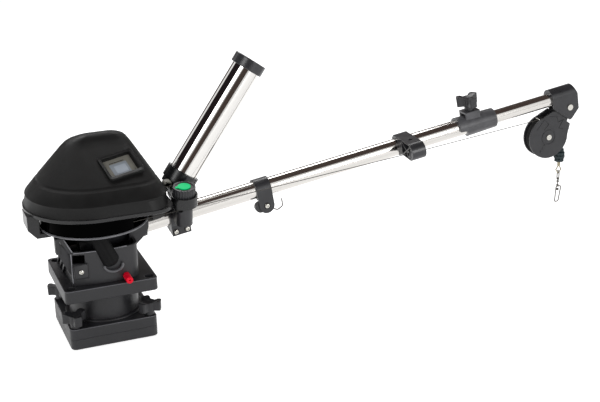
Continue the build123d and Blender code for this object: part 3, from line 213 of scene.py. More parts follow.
finish_of = {
    filled_nylon: ["mounting_plate", "clamp_plate", "riser_drum", "swivel_plate", "frame",
                   "clamp_knob_front_left", "clamp_knob_front_right", "clamp_knob_rear_left",
                   "clamp_knob_rear_right", "detent_ring"],
    fitting_nylon: ["hook_clamp", "boom_lock_knob", "rod_bracket", "bracket_clamp", "rod_knob",
                    "head_plate_near", "head_plate_far"],
    paled_nylon: ["guide_block", "end_cap", "rim_cap"],
    painted_highlight_sleeve: ["lock_sleeve"],
    neoprene_boot: ["inlet_hood"],
    shaded_abs: ["pulley_wheel"],
    dull_spring_wire: ["line_hook", "snap_link", "snap_loop"],
    grained_abs: ["cover"],
    satin_abs: ["tray", "rod_collar"],
    polished_acetal: ["spool"],
    lacquered_guard: ["spool_guard"],
    drawn_stainless: ["boom_outer_tube", "boom_inner_tube"],
    buffed_stainless: ["rod_tube"],
    plated_steel: ["clamp_studs", "fitting_screws", "head_bolt", "wheel_axle"],
    machined_steel: ["swivel_post", "centre_post", "spool_bearings", "post_nut", "spool_pulley",
                     "motor_pulley", "motor_mount"],
    stranded_cable: ["cable_run", "cable_lead", "cable_drop", "cable_wrap"],
    red_acetal: ["lock_pin"],
    green_insert: ["knob_disc"],
    nitrile_rubber: ["cable_stopper"],
    tarnished_brass: ["cable_crimp"],
    grey_abs: ["screen_bezel"],
    display_window: ["screen_lens"],
    circuit_board: ["counter_board"],
    belt_rubber: ["drive_belt"],
    slide_acetal: ["slide_bush"],
    enamelled_can: ["drive_motor"],
}
for finish, names in finish_of.items():
    for name in names:
        nodes[name].data.materials.clear()
        nodes[name].data.materials.append(finish)
        for polygon in nodes[name].data.polygons:
            polygon.material_index = 0

# ---------------------------------------------------------------- camera
CAMERA_PLACE = Vector((-387.9, -1949.7, 950.2)) * MM
CAMERA_RIGHT = Vector((0.92904, -0.36947, -0.01943))
CAMERA_UP = Vector((0.14520, 0.31580, 0.93765))
SENSOR, LENS = 36.0, 73.8
FARTHEST = 30               # metres that the camera sees
camera_data = bpy.data.cameras.new("camera")
camera_data.sensor_width = SENSOR
camera_data.lens = LENS
camera_data.clip_end = FARTHEST
camera = bpy.data.objects.new("camera", camera_data)
bpy.context.scene.collection.objects.link(camera)
camera_back = CAMERA_RIGHT.cross(CAMERA_UP).normalized()
camera.matrix_world = Matrix.Translation(CAMERA_PLACE) @ Matrix(
    (CAMERA_RIGHT, CAMERA_UP, camera_back)).transposed().to_4x4()
bpy.context.scene.camera = camera


# ---------------------------------------------------------------- making pieces
def mesh_of(name, build):
    """A mesh in metres from a bmesh that build fills in millimetres."""
    shell = bmesh.new()
    build(shell)
    bmesh.ops.recalc_face_normals(shell, faces=shell.faces)
    mesh = bpy.data.meshes.new(name)
    shell.to_mesh(mesh)
    shell.free()
    mesh.transform(Matrix.Scale(MM, 4))
    return mesh


def piece(name, build, finish, body, replaced=(), smooth=40):
    """Adds one piece of the object, from its mesh or the function that builds it.

    Edges that turn less than smooth degrees are shaded round. A cable has no body here: the drop gets one
    later.
    """
    mesh = build if isinstance(build, bpy.types.Mesh) else mesh_of(name, build)
    made = bpy.data.objects.new(name, mesh)
    mesh.materials.append(finish)
    bpy.context.scene.collection.objects.link(made)
    mesh.shade_smooth()
    mesh.set_sharp_from_angle(angle=math.radians(smooth))
    if body:
        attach(made, body)
    if replaced:
        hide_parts(*replaced)
    return made


def axes(origin, z, x=None):
    """Matrix that puts local z along z and local x near x, at origin in millimetres."""
    z = Vector(z).normalized()
    x = Vector(x) if x else (ALONG if abs(z.dot(ALONG)) < 0.9 else Vector((0, 0, 1)))
    x = (x - z * x.dot(z)).normalized()
    return Matrix.Translation(origin) @ Matrix((x, z.cross(x), z)).transposed().to_4x4()


def spun(shell, place, profile, steps=32):
    """Adds the surface that a profile of (radius, height) points makes round the local z axis."""
    rings = []
    for r, z in profile:
        if r < 1e-6:
            rings.append([shell.verts.new(place @ Vector((0, 0, z)))])
        else:
            rings.append([shell.verts.new(place @ Vector((r * math.cos(a), r * math.sin(a), z)))
                          for a in (math.tau * i / steps for i in range(steps))])
    for low, high in zip(rings, rings[1:]):
        for i in range(steps):
            j = (i + 1) % steps
            corners = [low[i % len(low)], low[j % len(low)], high[j % len(high)], high[i % len(high)]]
            unique = list(dict.fromkeys(corners))
            if len(unique) > 2:
                shell.faces.new(unique)


def ring_tube(shell, points, radius, closed=False, sides=12):
    """Adds a round tube of that radius along points, given in millimetres."""
    rings = []
    count = len(points)
    side = None
    for i, point in enumerate(points):
        before = points[i - 1] if i or closed else point
        after = points[(i + 1) % count] if i < count - 1 or closed else point
        way = (after - before).normalized()
        if side is None:
            side = way.orthogonal().normalized()
        side = (side - way * side.dot(way)).normalized()
        other = way.cross(side)
        rings.append([shell.verts.new(point + (side * math.cos(a) + other * math.sin(a)) * radius)
                      for a in (math.tau * k / sides for k in range(sides))])
    pairs = list(zip(rings, rings[1:])) + ([(rings[-1], rings[0])] if closed else [])
    for low, high in pairs:
        for k in range(sides):
            m = (k + 1) % sides
            shell.faces.new((low[k], low[m], high[m], high[k]))
    if not closed:
        shell.faces.new(rings[0][::-1])
        shell.faces.new(rings[-1])

LINE_STEPS = 16             # points along each span of a smooth line


def smooth_line(points):
    """Points in millimetres along the NURBS line of these control points."""
    curve = bpy.data.curves.new("line", "CURVE")
    curve.dimensions = "3D"
    curve.resolution_u = LINE_STEPS
    spline = curve.splines.new("NURBS")
    spline.points.add(len(points) - 1)
    for target, point in zip(spline.points, points):
        target.co = (*point, 1)
    spline.order_u = 3
    spline.use_endpoint_u = True
    holder = bpy.data.objects.new("line", curve)
    bpy.context.scene.collection.objects.link(holder)
    line = bpy.data.meshes.new_from_object(holder.evaluated_get(bpy.context.evaluated_depsgraph_get()))
    found = [v.co.copy() for v in line.vertices]
    bpy.data.objects.remove(holder)
    bpy.data.curves.remove(curve)
    bpy.data.meshes.remove(line)
    return found


def stacked(shell, rings, capped=False):
    """Adds the wall through rings of equally many points each, in millimetres, and a lid on the last one."""
    loops = [[shell.verts.new(point) for point in ring] for ring in rings]
    for low, high in zip(loops, loops[1:]):
        for i in range(len(low)):
            j = (i + 1) % len(low)
            shell.faces.new((low[i], low[j], high[j], high[i]))
    if capped:
        shell.faces.new(loops[-1])


def turned_through(centre, radius, start, end, count):
    """Points on an arc in plan, its end left out, so that the next stretch can start there."""
    return [(centre[0] + radius * math.cos(a), centre[1] + radius * math.sin(a))
            for a in (math.radians(start + (end - start) * i / count) for i in range(count))]


def straight(start, end, count):
    """Points from start to end, the last one left out."""
    return [tuple(a + (b - a) * i / count for a, b in zip(start, end)) for i in range(count)]


CORNER_STEPS = 6


def rounded_rectangle(width, height, corner, shift=0):
    """Outline about the origin, moved along y by shift."""
    x, y = width / 2 - corner, height / 2 - corner
    return [(px, py + shift)
            for cx, cy, start in ((x, y, 0), (-x, y, 90), (-x, -y, 180), (x, -y, 270))
            for px, py in turned_through((cx, cy), corner, start, start + 90, CORNER_STEPS)]


def reshaped(mesh, modifiers):
    """The mesh as these modifiers leave it: each is a kind and its settings."""
    holder = bpy.data.objects.new("holder", mesh)
    bpy.context.scene.collection.objects.link(holder)
    for kind, settings in modifiers:
        modifier = holder.modifiers.new(kind.lower(), kind)
        for name, value in settings.items():
            setattr(modifier, name, value)
    shape = holder.evaluated_get(bpy.context.evaluated_depsgraph_get())
    result = bpy.data.meshes.new_from_object(shape)
    bpy.data.objects.remove(holder)
    return result


# ---------------------------------------------------------------- cover
COVER_WALL = 3.2
GROOVE_ROW = 3              # of the edges below, the one that the groove follows
GROOVE = 1.4                # depth of the soft groove where the cover's face meets its shoulder
GROOVE_LOW, GROOVE_HIGH = 0.86, 0.05    # where its lips lie, as shares of the shoulder and of the face
GROOVE_ROUNDING = 0.8
# height, left end, right end, front, back, corner radius, and how far the edge there is rounded
COVER_EDGES = [
    (236, -118.5, 108, -94.5, 124.5, 34, 0),
    (252.5, -114, 110, -90.8, 120.8, 45, 0),
    (255.6, -115.2, 111.2, -92.2, 122.2, 46, 0.9),
    (275, -94, 101, -67, 116, 44, 0),
    (329, -36, 71, 25, 72, 20, 8),
    (335, -21, 62, 31, 62, 14, 3),
    (338.3, -9, 52, 36, 55, 9, 1.5),
    (339.8, -1, 43, 40, 51, 5, 0),
]
HALF_ROUND_STEPS, SIDE_STEPS, END_STEPS = 48, 12, 8     # points along the stretches of a section


def between(low, high, share):
    """A section of the cover part of the way from one to another."""
    return tuple(a + (b - a) * share for a, b in zip(low, high))


def bay_outline(z, left, right, front, back, corner):
    """One section of the cover: half-round at the left and rounded at the right corners."""
    half = (back - front) / 2
    middle = (back + front) / 2
    near = right - corner
    plan = turned_through((left + half, middle), half, 90, 270, HALF_ROUND_STEPS)
    plan += straight((left + half, front), (near, front), SIDE_STEPS)
    plan += turned_through((near, front + corner), corner, -90, 0, SIDE_STEPS)
    plan += straight((right, front + corner), (right, back - corner), END_STEPS)
    plan += turned_through((near, back - corner), corner, 0, 90, SIDE_STEPS)
    plan += straight((near, back), (left + half, back), SIDE_STEPS)
    return [Vector((x, y, z)) for x, y in plan]


def cover_sections():
    """Every section of the cover's outside, edges rounded and the groove cut."""
    groove = COVER_EDGES[GROOVE_ROW]
    shoulder = COVER_EDGES[GROOVE_ROW - 1], groove
    face = groove, COVER_EDGES[GROOVE_ROW + 1]
    sunk = (groove[0], groove[1] + GROOVE, groove[2] - GROOVE, groove[3] + GROOVE, groove[4] - GROOVE,
            groove[5], GROOVE_ROUNDING)
    edges = COVER_EDGES[:GROOVE_ROW] + [between(*shoulder, GROOVE_LOW), sunk, between(*face, GROOVE_HIGH)]
    edges += COVER_EDGES[GROOVE_ROW + 1:]
    sections = [edges[0]]
    for before, here, after in zip(edges, edges[1:], edges[2:]):
        reach = here[6]
        low = between(here, before, min(0.5, reach / (here[0] - before[0])))
        high = between(here, after, min(0.5, reach / (after[0] - here[0])))
        sections += [low, between(here, between(low, high, 0.5), 0.5), high] if reach > 0.1 else [here]
    sections.append(edges[-1])
    return [bay_outline(*section[:6]) for section in sections]


SCREEN_SLOPE = math.radians(31.8)
SCREEN_TURN = math.radians(13)
SCREEN_CENTRE = Vector((41.5, -23, 299.6))
screen_right = Vector((math.cos(SCREEN_TURN), math.sin(SCREEN_TURN) * math.cos(SCREEN_SLOPE),
                       math.sin(SCREEN_TURN) * math.sin(SCREEN_SLOPE)))
screen_out = Vector((0, -math.sin(SCREEN_SLOPE), math.cos(SCREEN_SLOPE)))
screen_place = axes(SCREEN_CENTRE, screen_out, screen_right)
SCREEN_W, SCREEN_H, SCREEN_CORNER = 52, 42, 3
WINDOW_REACH = 16           # how far the window's cut goes each way from the cover's face


def window_block(shell):
    """Block that cuts the display's window through the cover."""
    outline = rounded_rectangle(SCREEN_W, SCREEN_H, SCREEN_CORNER)
    stacked(shell, [[screen_place @ Vector((x, y, z)) for x, y in outline]
                    for z in (-WINDOW_REACH, WINDOW_REACH)], capped=True)
    bmesh.ops.holes_fill(shell, edges=shell.edges[:])


def cover_shell():
    """The cover's wall, open below, with the display's window cut through it."""
    cutter = bpy.data.objects.new("window", mesh_of("window", window_block))
    bpy.context.scene.collection.objects.link(cutter)
    skin = mesh_of("cover_shell", lambda shell: stacked(shell, cover_sections(), capped=True))
    wall = reshaped(skin, [
        ("SOLIDIFY", {"thickness": COVER_WALL * MM, "offset": -1}),
        ("BOOLEAN", {"operation": "DIFFERENCE", "object": cutter, "solver": "EXACT"})])
    bpy.data.objects.remove(cutter)
    return wall


piece("cover_shell", cover_shell(), grained_abs, "head_frame", ["cover"], smooth=38)

# ---------------------------------------------------------------- display
PLATE_DEPTH = -6.4          # of the display's plate below the cover's face
# rings from the cover's face up the surround and in to the recess, then down to the recess's foot:
# width, height, corner radius, rise along the upper side and along the lower side, shift along the face
RECESS_MOUTH = (SCREEN_W + 0.8, SCREEN_H + 0.8, 3, 1.2, 3.6)
RECESS_FOOT = (SCREEN_W - 0.4, SCREEN_H - 0.4, 2.8, PLATE_DEPTH - 1, PLATE_DEPTH - 1)
SURROUND = [
    (65.5, 57, 6, -14, -14, -1.5),
    (64.5, 55, 5.5, 1.6, 4.6, -1.2),
    (63.3, 53.8, 5, 2.4, 5.4, -1.2),
    (54.4, 44.4, 3.4, 2.0, 4.4),
    RECESS_MOUTH,
]
# name, middle in the screen's plane, width, height and corner radius, foot and face from the plate's face,
# finish, slot and the solid that it stands for
SLABS = [
    ("display_plate", (0, 0), (SCREEN_W - 0.6, SCREEN_H - 0.6, 2.8), (-2, 0), grey_abs, "bezel_grey",
     ["screen_bezel"]),
    ("display_panel", (-0.5, -2.6), (31, 25, 1.6), (-0.2, 0.3), display_window, "screen_glass",
     ["screen_lens"]),
    ("display_glass", (0.6, -3.6), (21, 16.5, 1), (0.2, 0.5), unlit_crystal, "screen_glass", []),
    ("display_bar", (-1, 12.4), (27, 1.2, 0.5), (-0.2, 0.3), shaded_abs, "satin_black", []),
]
SLAB_ROUNDING = 0.2
EDGE_R = 0.5
EDGE_INSET = 1
EDGE_RISE = 0.4
EDGE_FOOT, EDGE_TOP = -18, 17


def screen_ring(width, height, corner, top, bottom, shift=0):
    """A ring round the display whose height runs from bottom at its lower side to top at its upper one."""
    outline = rounded_rectangle(width, height, corner, shift)
    span = height / 2
    return [screen_place @ Vector((x, y, bottom + (top - bottom) * (y - shift + span) / (2 * span)))
            for x, y in outline]


def display_housing(shell):
    """Raised surround of the display, highest along its lower side."""
    stacked(shell, [screen_ring(*ring) for ring in SURROUND])


def display_recess(shell):
    """Walls of the recess, down past the display's plate."""
    stacked(shell, [screen_ring(*RECESS_MOUTH), screen_ring(*RECESS_FOOT)])


def screen_slab(shell, middle, size, span):
    """A flat slab in the screen's plane with a small rounded edge."""
    width, height, corner = size
    low, high = (PLATE_DEPTH + z for z in span)

    def outline(inset, z):
        return [screen_place @ Vector((x + middle[0], y + middle[1], z))
                for x, y in rounded_rectangle(width - 2 * inset, height - 2 * inset, corner - inset)]

    stacked(shell, [outline(0, low), outline(0, high - SLAB_ROUNDING), outline(SLAB_ROUNDING, high)],
            capped=True)


def display_edge_highlight(shell):
    """Pale strip along the plate's edge at the recess's left side: a painted highlight."""
    left = EDGE_INSET - SCREEN_W / 2
    line = [screen_place @ Vector((left, y, PLATE_DEPTH + EDGE_RISE)) for y in (EDGE_FOOT, EDGE_TOP)]
    ring_tube(shell, line, EDGE_R, sides=6)


piece("display_housing", display_housing, grained_abs, "head_frame", smooth=35)
# the recess's walls are near-black: painted shade
piece("display_recess", display_recess, shaded_abs, "head_frame", smooth=35)
for name, middle, size, span, finish, slot, stands_for in SLABS:
    piece(name, lambda shell: screen_slab(shell, middle, size, span), finish, "head_frame", stands_for,
          smooth=35)
piece("display_edge_highlight", display_edge_highlight, painted_highlight_edge, "head_frame", smooth=50)

# ---------------------------------------------------------------- spool lip, with its painted highlight
SPOOL_X = -6.5
SPOOL_R = 93
FLANGE_LOW, FLANGE_HIGH = 199.8, 203
LIP_R = (FLANGE_HIGH - FLANGE_LOW) / 2
LIP_PROUD = 0.3             # how far the lip stands out from the flange all round


def spool_lip_highlight(shell):
    """Rolled rim of the spool's lower flange, set a little proud of it to carry the painted highlight."""
    middle = (FLANGE_HIGH + FLANGE_LOW) / 2
    proud = LIP_R + LIP_PROUD
    profile = [(SPOOL_R - LIP_R + proud * math.cos(a), middle + proud * math.sin(a))
               for a in (math.radians(d) for d in range(-90, 91, 20))]
    spun(shell, axes(Vector((SPOOL_X, 0, 0)), Vector((0, 0, 1)), Vector((1, 0, 0))), profile, steps=120)


piece("spool_lip_highlight", spool_lip_highlight, painted_highlight_lip, "spool", smooth=60)

# ---------------------------------------------------------------- screws
BRACKET_ROLL = math.radians(9)      # of the rod bracket round the boom
bracket_side = ACROSS * math.cos(BRACKET_ROLL) + UPWARD * math.sin(BRACKET_ROLL)
bracket_up = ALONG.cross(bracket_side)
BRACKET_OUT, BRACKET_DOWN = 19, 23  # the bracket's screw faces, out from the boom's axis and below it
screws = [(on_boom(s) - bracket_side * BRACKET_OUT - bracket_up * BRACKET_DOWN, -bracket_side)
          for s in (130.5, 151.5)]
screws.append((on_boom(300.5, -19.1, -28), -ACROSS))        # of the hook's clamp
screws.append((Vector((-47, -67.4, 137)), -ACROSS))         # of the frame's front wall
# radius and height above the face, from the outside in
SCREW_SHADE_RING = [(6.1, 0), (6.1, 0.25), (4.7, 0.3)]
PAN_HEAD = [(4.6, 0.2), (4.5, 1.0), (3.9, 1.9), (2.9, 2.4), (2.1, 2.55), (1.9, 2.3), (1.8, 1.0), (0, 0.9)]
HEAD_STEPS = 28


def on_screws(shell, profile):
    """The same round shape on every screw's face."""
    for face, way in screws:
        spun(shell, axes(face, way), profile, steps=HEAD_STEPS)


piece("screw_heads", lambda shell: on_screws(shell, PAN_HEAD), plated_steel, "head_frame",
      ["fitting_screws"])
# a flat near-black ring round each screw's head: painted shade where the head sits on its face
piece("screw_shade_rings", lambda shell: on_screws(shell, SCREW_SHADE_RING), shaded_abs, "head_frame")

# ---------------------------------------------------------------- frame's screw pad
FRAME_FACE = -66.5
PAD_X, PAD_Z = -46.5, 137.5
PAD_W, PAD_H, PAD_CORNER = 22, 24, 1.6
# inset and rise of each of its steps, from the wall to its face
PAD_STEPS = [(-0.8, -0.4), (-0.8, 0.15), (0, 0.15), (0.1, 0.9), (0.6, 1.2)]


def screw_pad(shell):
    """Raised square that the frame's screw stands on."""
    stacked(shell, [[Vector((PAD_X + x, FRAME_FACE - rise, PAD_Z + z))
                     for x, z in rounded_rectangle(PAD_W - 2 * inset, PAD_H - 2 * inset, PAD_CORNER)]
                    for inset, rise in PAD_STEPS], capped=True)


piece("screw_pad", screw_pad, filled_nylon, "head_frame", smooth=30)

# ---------------------------------------------------------------- pale strips along the housings' edges: painted highlights
STRIP_R = 0.9
STRIP_SINK = 0.8             # how deep a strip's middle lies in the edge, as a share of its radius
# half width, top and corner radius of the swivel plate and of the clamp plate
PLATES = {"deck_highlight_strip": (79.5, 110.0, 8), "plate_highlight_strip": (75.2, 37.6, 9)}
WALL_TOP = 170
WALL_MIDDLE, WALL_BOW, WALL_HALF = -4, 6.5, 58
WALL_FACE, WALL_SINK = -61, 0.6
WALL_LEFT, WALL_RIGHT, WALL_STEP = -57, 38, 5
FLARE_FOOT = Vector((-57.5, -57.3, WALL_TOP))
FLARE_TIP = Vector((-70, -57.3, 195.5))
FLARE_SIZE = 1.2            # of the flare's strip against the others
CORNER_TOP = Vector((-60.5, -58.2, WALL_TOP - 2))
CORNER_FOOT = Vector((-60.5, -58.2, 116))


def square_highlight_strip(shell, half, top, corner):
    """Pale rounded strip along the top edge of a square plate: a painted highlight."""
    inset = STRIP_R * STRIP_SINK
    outline = rounded_rectangle(2 * (half - inset), 2 * (half - inset), corner - inset)
    ring_tube(shell, [Vector((x, y, top - inset)) for x, y in outline], STRIP_R, closed=True, sides=8)


def bowed(x):
    """Point at x on the top edge of the frame's front wall, which bows outwards."""
    share = (x - WALL_MIDDLE) / WALL_HALF
    return Vector((x, WALL_FACE - WALL_BOW * (1 - share * share) + WALL_SINK, WALL_TOP))


def wall_highlight_strip(shell):
    """Pale strips on the edges of the frame's front wall, of its left flare and of its left corner: painted
    highlights.
    """
    ring_tube(shell, [bowed(x) for x in range(WALL_LEFT, WALL_RIGHT, WALL_STEP)], STRIP_R, sides=8)
    ring_tube(shell, [FLARE_FOOT, FLARE_TIP], STRIP_R * FLARE_SIZE, sides=8)
    ring_tube(shell, [CORNER_TOP, CORNER_FOOT], STRIP_R, sides=8)


for name, plate in PLATES.items():
    piece(name, lambda shell: square_highlight_strip(shell, *plate), painted_highlight_nylon, "pedestal",
          smooth=50)
piece("wall_highlight_strip", wall_highlight_strip, painted_wall_highlight, "head_frame", smooth=50)

# ---------------------------------------------------------------- cable inlet
BOOT_TOP = Vector((-13, -65, 189))
BOOT_FOOT = Vector((5, -69.5, 147))
BOOT_W, BOOT_D = 14.5, 8.5          # half width and half depth of the boot at its foot
BOOT_SIDES = 72
BOOT_TAPER = 0.1            # share of its size that the boot loses towards its top
BOOT_SUNK = 8               # how far its top reaches in under the spool
BOOT_RIBS, RIB_DEPTH = 5, 0.35
TONGUE_START, TONGUE = 6, 12        # the rounded end starts that far above the foot and is that long
CUP_R, CUP_TUBE = 15.5, 2.1
CUP_SHIFT = Vector((2.5, -0.5, -6))
CUP_OUT, CUP_DROP = 3, 0.62         # how far its lip bulges out, and how round it is seen from the front


def inlet_boot(shell):
    """Soft tongue-shaped boot over the cable inlet, with a round foot and shallow ribs along it."""
    place = axes(BOOT_TOP, (BOOT_FOOT - BOOT_TOP).normalized(), Vector((1, 0, 0)))
    length = (BOOT_FOOT - BOOT_TOP).length
    body_end = length - TONGUE_START

    def section(z, size):
        ring = []
        for a in (math.tau * i / BOOT_SIDES for i in range(BOOT_SIDES)):
            rib = RIB_DEPTH * math.cos(2 * BOOT_RIBS * a)
            across, out = BOOT_W * size + rib, BOOT_D * size + rib
            ring.append(place @ Vector((across * math.cos(a), out * math.sin(a), z)))
        return ring

    sections = [section(z, 1 - BOOT_TAPER + BOOT_TAPER * z / length)
                for z in (-BOOT_SUNK, 0.3 * length, 0.6 * length, body_end)]
    sections += [section(body_end + TONGUE * math.sin(a), math.cos(a))
                 for a in (math.radians(d) for d in range(12, 85, 12))]
    stacked(shell, sections, capped=True)


def inlet_cup(shell):
    """Raised lip of the socket that the boot's foot sits in."""
    middle = BOOT_FOOT + CUP_SHIFT
    lip = [middle + Vector((CUP_R * math.cos(a), -CUP_OUT * math.sin(a), -CUP_R * CUP_DROP * math.sin(a)))
           for a in (math.radians(d) for d in range(-12, 193, 8))]
    ring_tube(shell, lip, CUP_TUBE)


piece("inlet_boot", inlet_boot, neoprene_boot, "head_frame", ["inlet_hood"], smooth=50)
# the cup is in the pale nylon: a painted highlight along its lip
piece("inlet_cup", inlet_cup, painted_highlight_nylon, "head_frame", smooth=50)

# ---------------------------------------------------------------- pulley head
# along the boom and above its axis
AXLE = (884.5, -69.4)
HEAD_BOLT = (933.6, -19.8)
KEEPER = (872, -31.2)
PLATE_OUT = 12              # from the boom's plane to a head plate's outer face
BOLT_OUT = 17               # and to the head bolt's end
AXLE_SIZE, BOLT_SIZE = 1.17, 1.26   # of their domes against a screw's head
DOME_FLAT = 0.85            # and how much flatter they are
KEEPER_R, KEEPER_HALF = 1.2, 9.1
RELIEF = 0.9                # how far the ribs stand out
RELIEF_FOOT = -0.3
HUB_RING = [(15.4, RELIEF_FOOT), (15.2, RELIEF), (13.6, RELIEF), (13.4, RELIEF_FOOT)]
# corners of each rib, from the axle
ZIGZAGS = [
    [(-24, 20), (-6, 38), (3, 26), (-8, 17)],
    [(7, 40), (22, 37), (24, 25), (36, 27), (24, 12), (33, 8)],
    [(-9, -11), (-22, -26)],
]


def plate_relief(shell):
    """Hub ring and moulded zigzag ribs on the near plate."""
    spun(shell, axes(on_boom(AXLE[0], -PLATE_OUT, AXLE[1]), -ACROSS), HUB_RING, steps=48)
    for line in ZIGZAGS:
        points = [on_boom(AXLE[0] + s, -PLATE_OUT, AXLE[1] + h) for s, h in line]
        ring_tube(shell, points, RELIEF, sides=8)


def domed_ends(shell, s, h, half, size):
    """A dome at each end of a cross bolt whose ends are half apart from the boom's plane."""
    for side in (1, -1):
        place = axes(on_boom(s, -half * side, h), -ACROSS * side)
        spun(shell, place, [(r * size, z * DOME_FLAT) for r, z in PAN_HEAD], steps=HEAD_STEPS)


def cable_keeper(shell):
    """Pin between the plates that keeps the cable in the wheel's groove."""
    spun(shell, axes(on_boom(KEEPER[0], 0, KEEPER[1]), ACROSS),
         [(0, -KEEPER_HALF), (KEEPER_R, -KEEPER_HALF), (KEEPER_R, KEEPER_HALF), (0, KEEPER_HALF)], steps=16)


piece("plate_relief", plate_relief, fitting_nylon, "pulley_head")
piece("axle_ends", lambda shell: domed_ends(shell, *AXLE, PLATE_OUT, AXLE_SIZE), plated_steel,
      "pulley_head")
piece("bolt_ends", lambda shell: domed_ends(shell, *HEAD_BOLT, BOLT_OUT, BOLT_SIZE), plated_steel,
      "inner_boom")
piece("cable_keeper", cable_keeper, plated_steel, "pulley_head")

# ---------------------------------------------------------------- rubber stop
LINE_R = 34                 # of the cable's path round the wheel
WHEEL_CENTRE = on_boom(AXLE[0], 0, AXLE[1])
DROP_X = WHEEL_CENTRE.x + LINE_R
STOP_TOP, STOP_LOW = 202, 175
TIERS = (9.2, 10.7, 10.7, 8.6)      # radius of each disc, from the lowest up
TEETH = 9
TOOTH = 1.6                 # depth of a tooth at a disc's widest
STOP_BORE = 2


def rubber_stop(shell):
    """Stack of toothed rubber discs on the cable, each with bevelled edges."""
    pitch = (STOP_TOP - STOP_LOW) / len(TIERS)
    drop = axes(Vector((DROP_X, 0, 0)), Vector((0, 0, 1)), Vector((1, 0, 0)))
    corners = 4 * TEETH

    def toothed(radius, z, depth, turn):
        """A ring at that height, whose every other pair of corners is set in by depth."""
        return [drop @ Vector((r * math.cos(a), r * math.sin(a), z)) for a, r in (
            (math.tau * (i + turn) / corners, radius - (depth if i % 4 > 1 else 0)) for i in range(corners))]

    for tier, radius in enumerate(TIERS):
        low = STOP_LOW + tier * pitch
        high = low + pitch
        stacked(shell, [
            toothed(STOP_BORE, low, 0, 0),
            toothed(radius - 1, low, 1.2, tier),
            toothed(radius, low + 0.8, TOOTH, tier),
            toothed(radius, high - 1.2, TOOTH, tier),
            toothed(radius - 2.4, high, 0.6, tier),
            toothed(STOP_BORE, high, 0, 0),
        ])


piece("rubber_stop", rubber_stop, nitrile_rubber, "pulley_head", ["cable_stopper"],
      smooth=35)

# ---------------------------------------------------------------- snap
COIL_HEIGHTS = (139.4, 137.9, 117.4, 115.9)
COIL_R, COIL_WIRE = 2.2, 0.75       # radius of a coil and of its wire
COIL_TILT = 0.2


def snap_coils(shell):
    """Turns of wire that close the snap's ends."""
    drop = Vector((DROP_X, 0, 0))
    for z in COIL_HEIGHTS:
        ring = [drop + Vector((COIL_R * math.cos(a), COIL_R * math.sin(a), z + COIL_TILT * math.sin(a)))
                for a in (math.tau * i / 16 for i in range(16))]
        ring_tube(shell, ring, COIL_WIRE, closed=True, sides=8)


piece("snap_coils", snap_coils, dull_spring_wire, "snap", smooth=60)

# ---------------------------------------------------------------- rod holder's latch
LATCH_X, LATCH_Z = 120, 253.5
LATCH_W, LATCH_H, LATCH_CORNER = 14, 12, 4
# inset and y of each of its steps, from back to front
LATCH_STEPS = [(12, -14), (0, -14), (0, -25.5), (1.6, -26.5), (12, -26.5)]
WEB_LINE = [Vector((116, -25, 249)), Vector((117.5, -38, 244)), Vector((119, -50, 241.5))]
WEB_R = 1.6


def latch_tab(shell):
    """Rounded grey tab of the holder's latch, behind the knob."""
    stacked(shell, [[Vector((LATCH_X + x, y, LATCH_Z + z))
                     for x, z in rounded_rectangle(LATCH_W - inset, LATCH_H - inset, LATCH_CORNER)]
                    for inset, y in LATCH_STEPS])


piece("latch_tab", latch_tab, grey_abs, "rod_holder")
# the edge that runs from the tab down to the collar
piece("latch_web", lambda shell: ring_tube(shell, WEB_LINE, WEB_R), satin_abs, "rod_holder",
      smooth=50)

# ---------------------------------------------------------------- cable
CABLE_R = 0.7
AWAY = 9                    # of a straight run's last point from the eye or the wheel
cable_start = Vector((SPOOL_X, -61.0, 204.2))
cable_turn = on_boom(598, -53, 1)
cable_end = WHEEL_CENTRE + Vector((0, 0, LINE_R))
cable_near = cable_end + Vector((-22, 0, -0.6))
cable_split = cable_turn.lerp(cable_near, 0.55)
drop_top = WHEEL_CENTRE + Vector((LINE_R, 0, 0))
drop_end = Vector((drop_top.x, 0, STOP_LOW))
run_way = (cable_turn - cable_start).normalized()
lead_way = (cable_near - cable_turn).normalized()
routes = {
    "cable_run": [cable_start, cable_turn - run_way * AWAY, cable_turn, cable_turn + lead_way * AWAY,
                  cable_split],
    "cable_lead": [cable_split, cable_near - lead_way * AWAY, cable_near, cable_end],
    "cable_drop": [cable_end, WHEEL_CENTRE + Vector((LINE_R, 0, LINE_R)), drop_top,
                   drop_top - Vector((0, 0, AWAY)), drop_end],
}


cables = {}
for name, route in routes.items():
    line = smooth_line(route)
    made = piece("wire_" + name, lambda shell: ring_tube(shell, line, CABLE_R, sides=8), stranded_cable,
                 None, [name], smooth=50)
    cables[name] = (made, [p * MM for p in line])
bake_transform(cables["cable_run"][0])
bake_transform(cables["cable_lead"][0])
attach(cables["cable_drop"][0], "pulley_head")
for name, far, lay, carried in (("cable_run", "object", "taut", []), ("cable_lead", "object", "taut", []),
                                ("cable_drop", "fitting", "hanging", ["rubber_stop", "cable_crimp"])):
    made, path = cables[name]

# ---------------------------------------------------------------- surroundings
ROD_WAY = Vector((math.cos(ROD_TILT), 0, math.sin(ROD_TILT)))
ROD_SEEN = Vector((0.24, 0.921, -0.307))        # the way in which the rod tube is looked at
ROD_FRONT = (ROD_WAY * ROD_SEEN.dot(ROD_WAY) - ROD_SEEN).normalized()
ROD_SIDE = ROD_WAY.cross(ROD_FRONT)
CEILING_WAY = (0, 0.35, 1)
BOX_WAY = Vector((-0.603, 0.718, 0.349)).normalized()
LINE_WAY = Vector((0.748, 0.248, 0.615))        # square to the plane that the thin dark line lies in
# start and end of each dark gap, in degrees round the rod tube, and how soft its sides are
LEFT_GAP = (-108, -50, 0.03)
FRONT_GAP = (-19, 44, 0.12)
RIM_GAP = (-158, -134, 0.04)
MATT_LEVEL = 0.42           # how strongly the world lights what isn't a mirror
MIX_A, MIX_B, MIXED = 6, 7, 2       # where a Mix node keeps its two colours and the mixed one


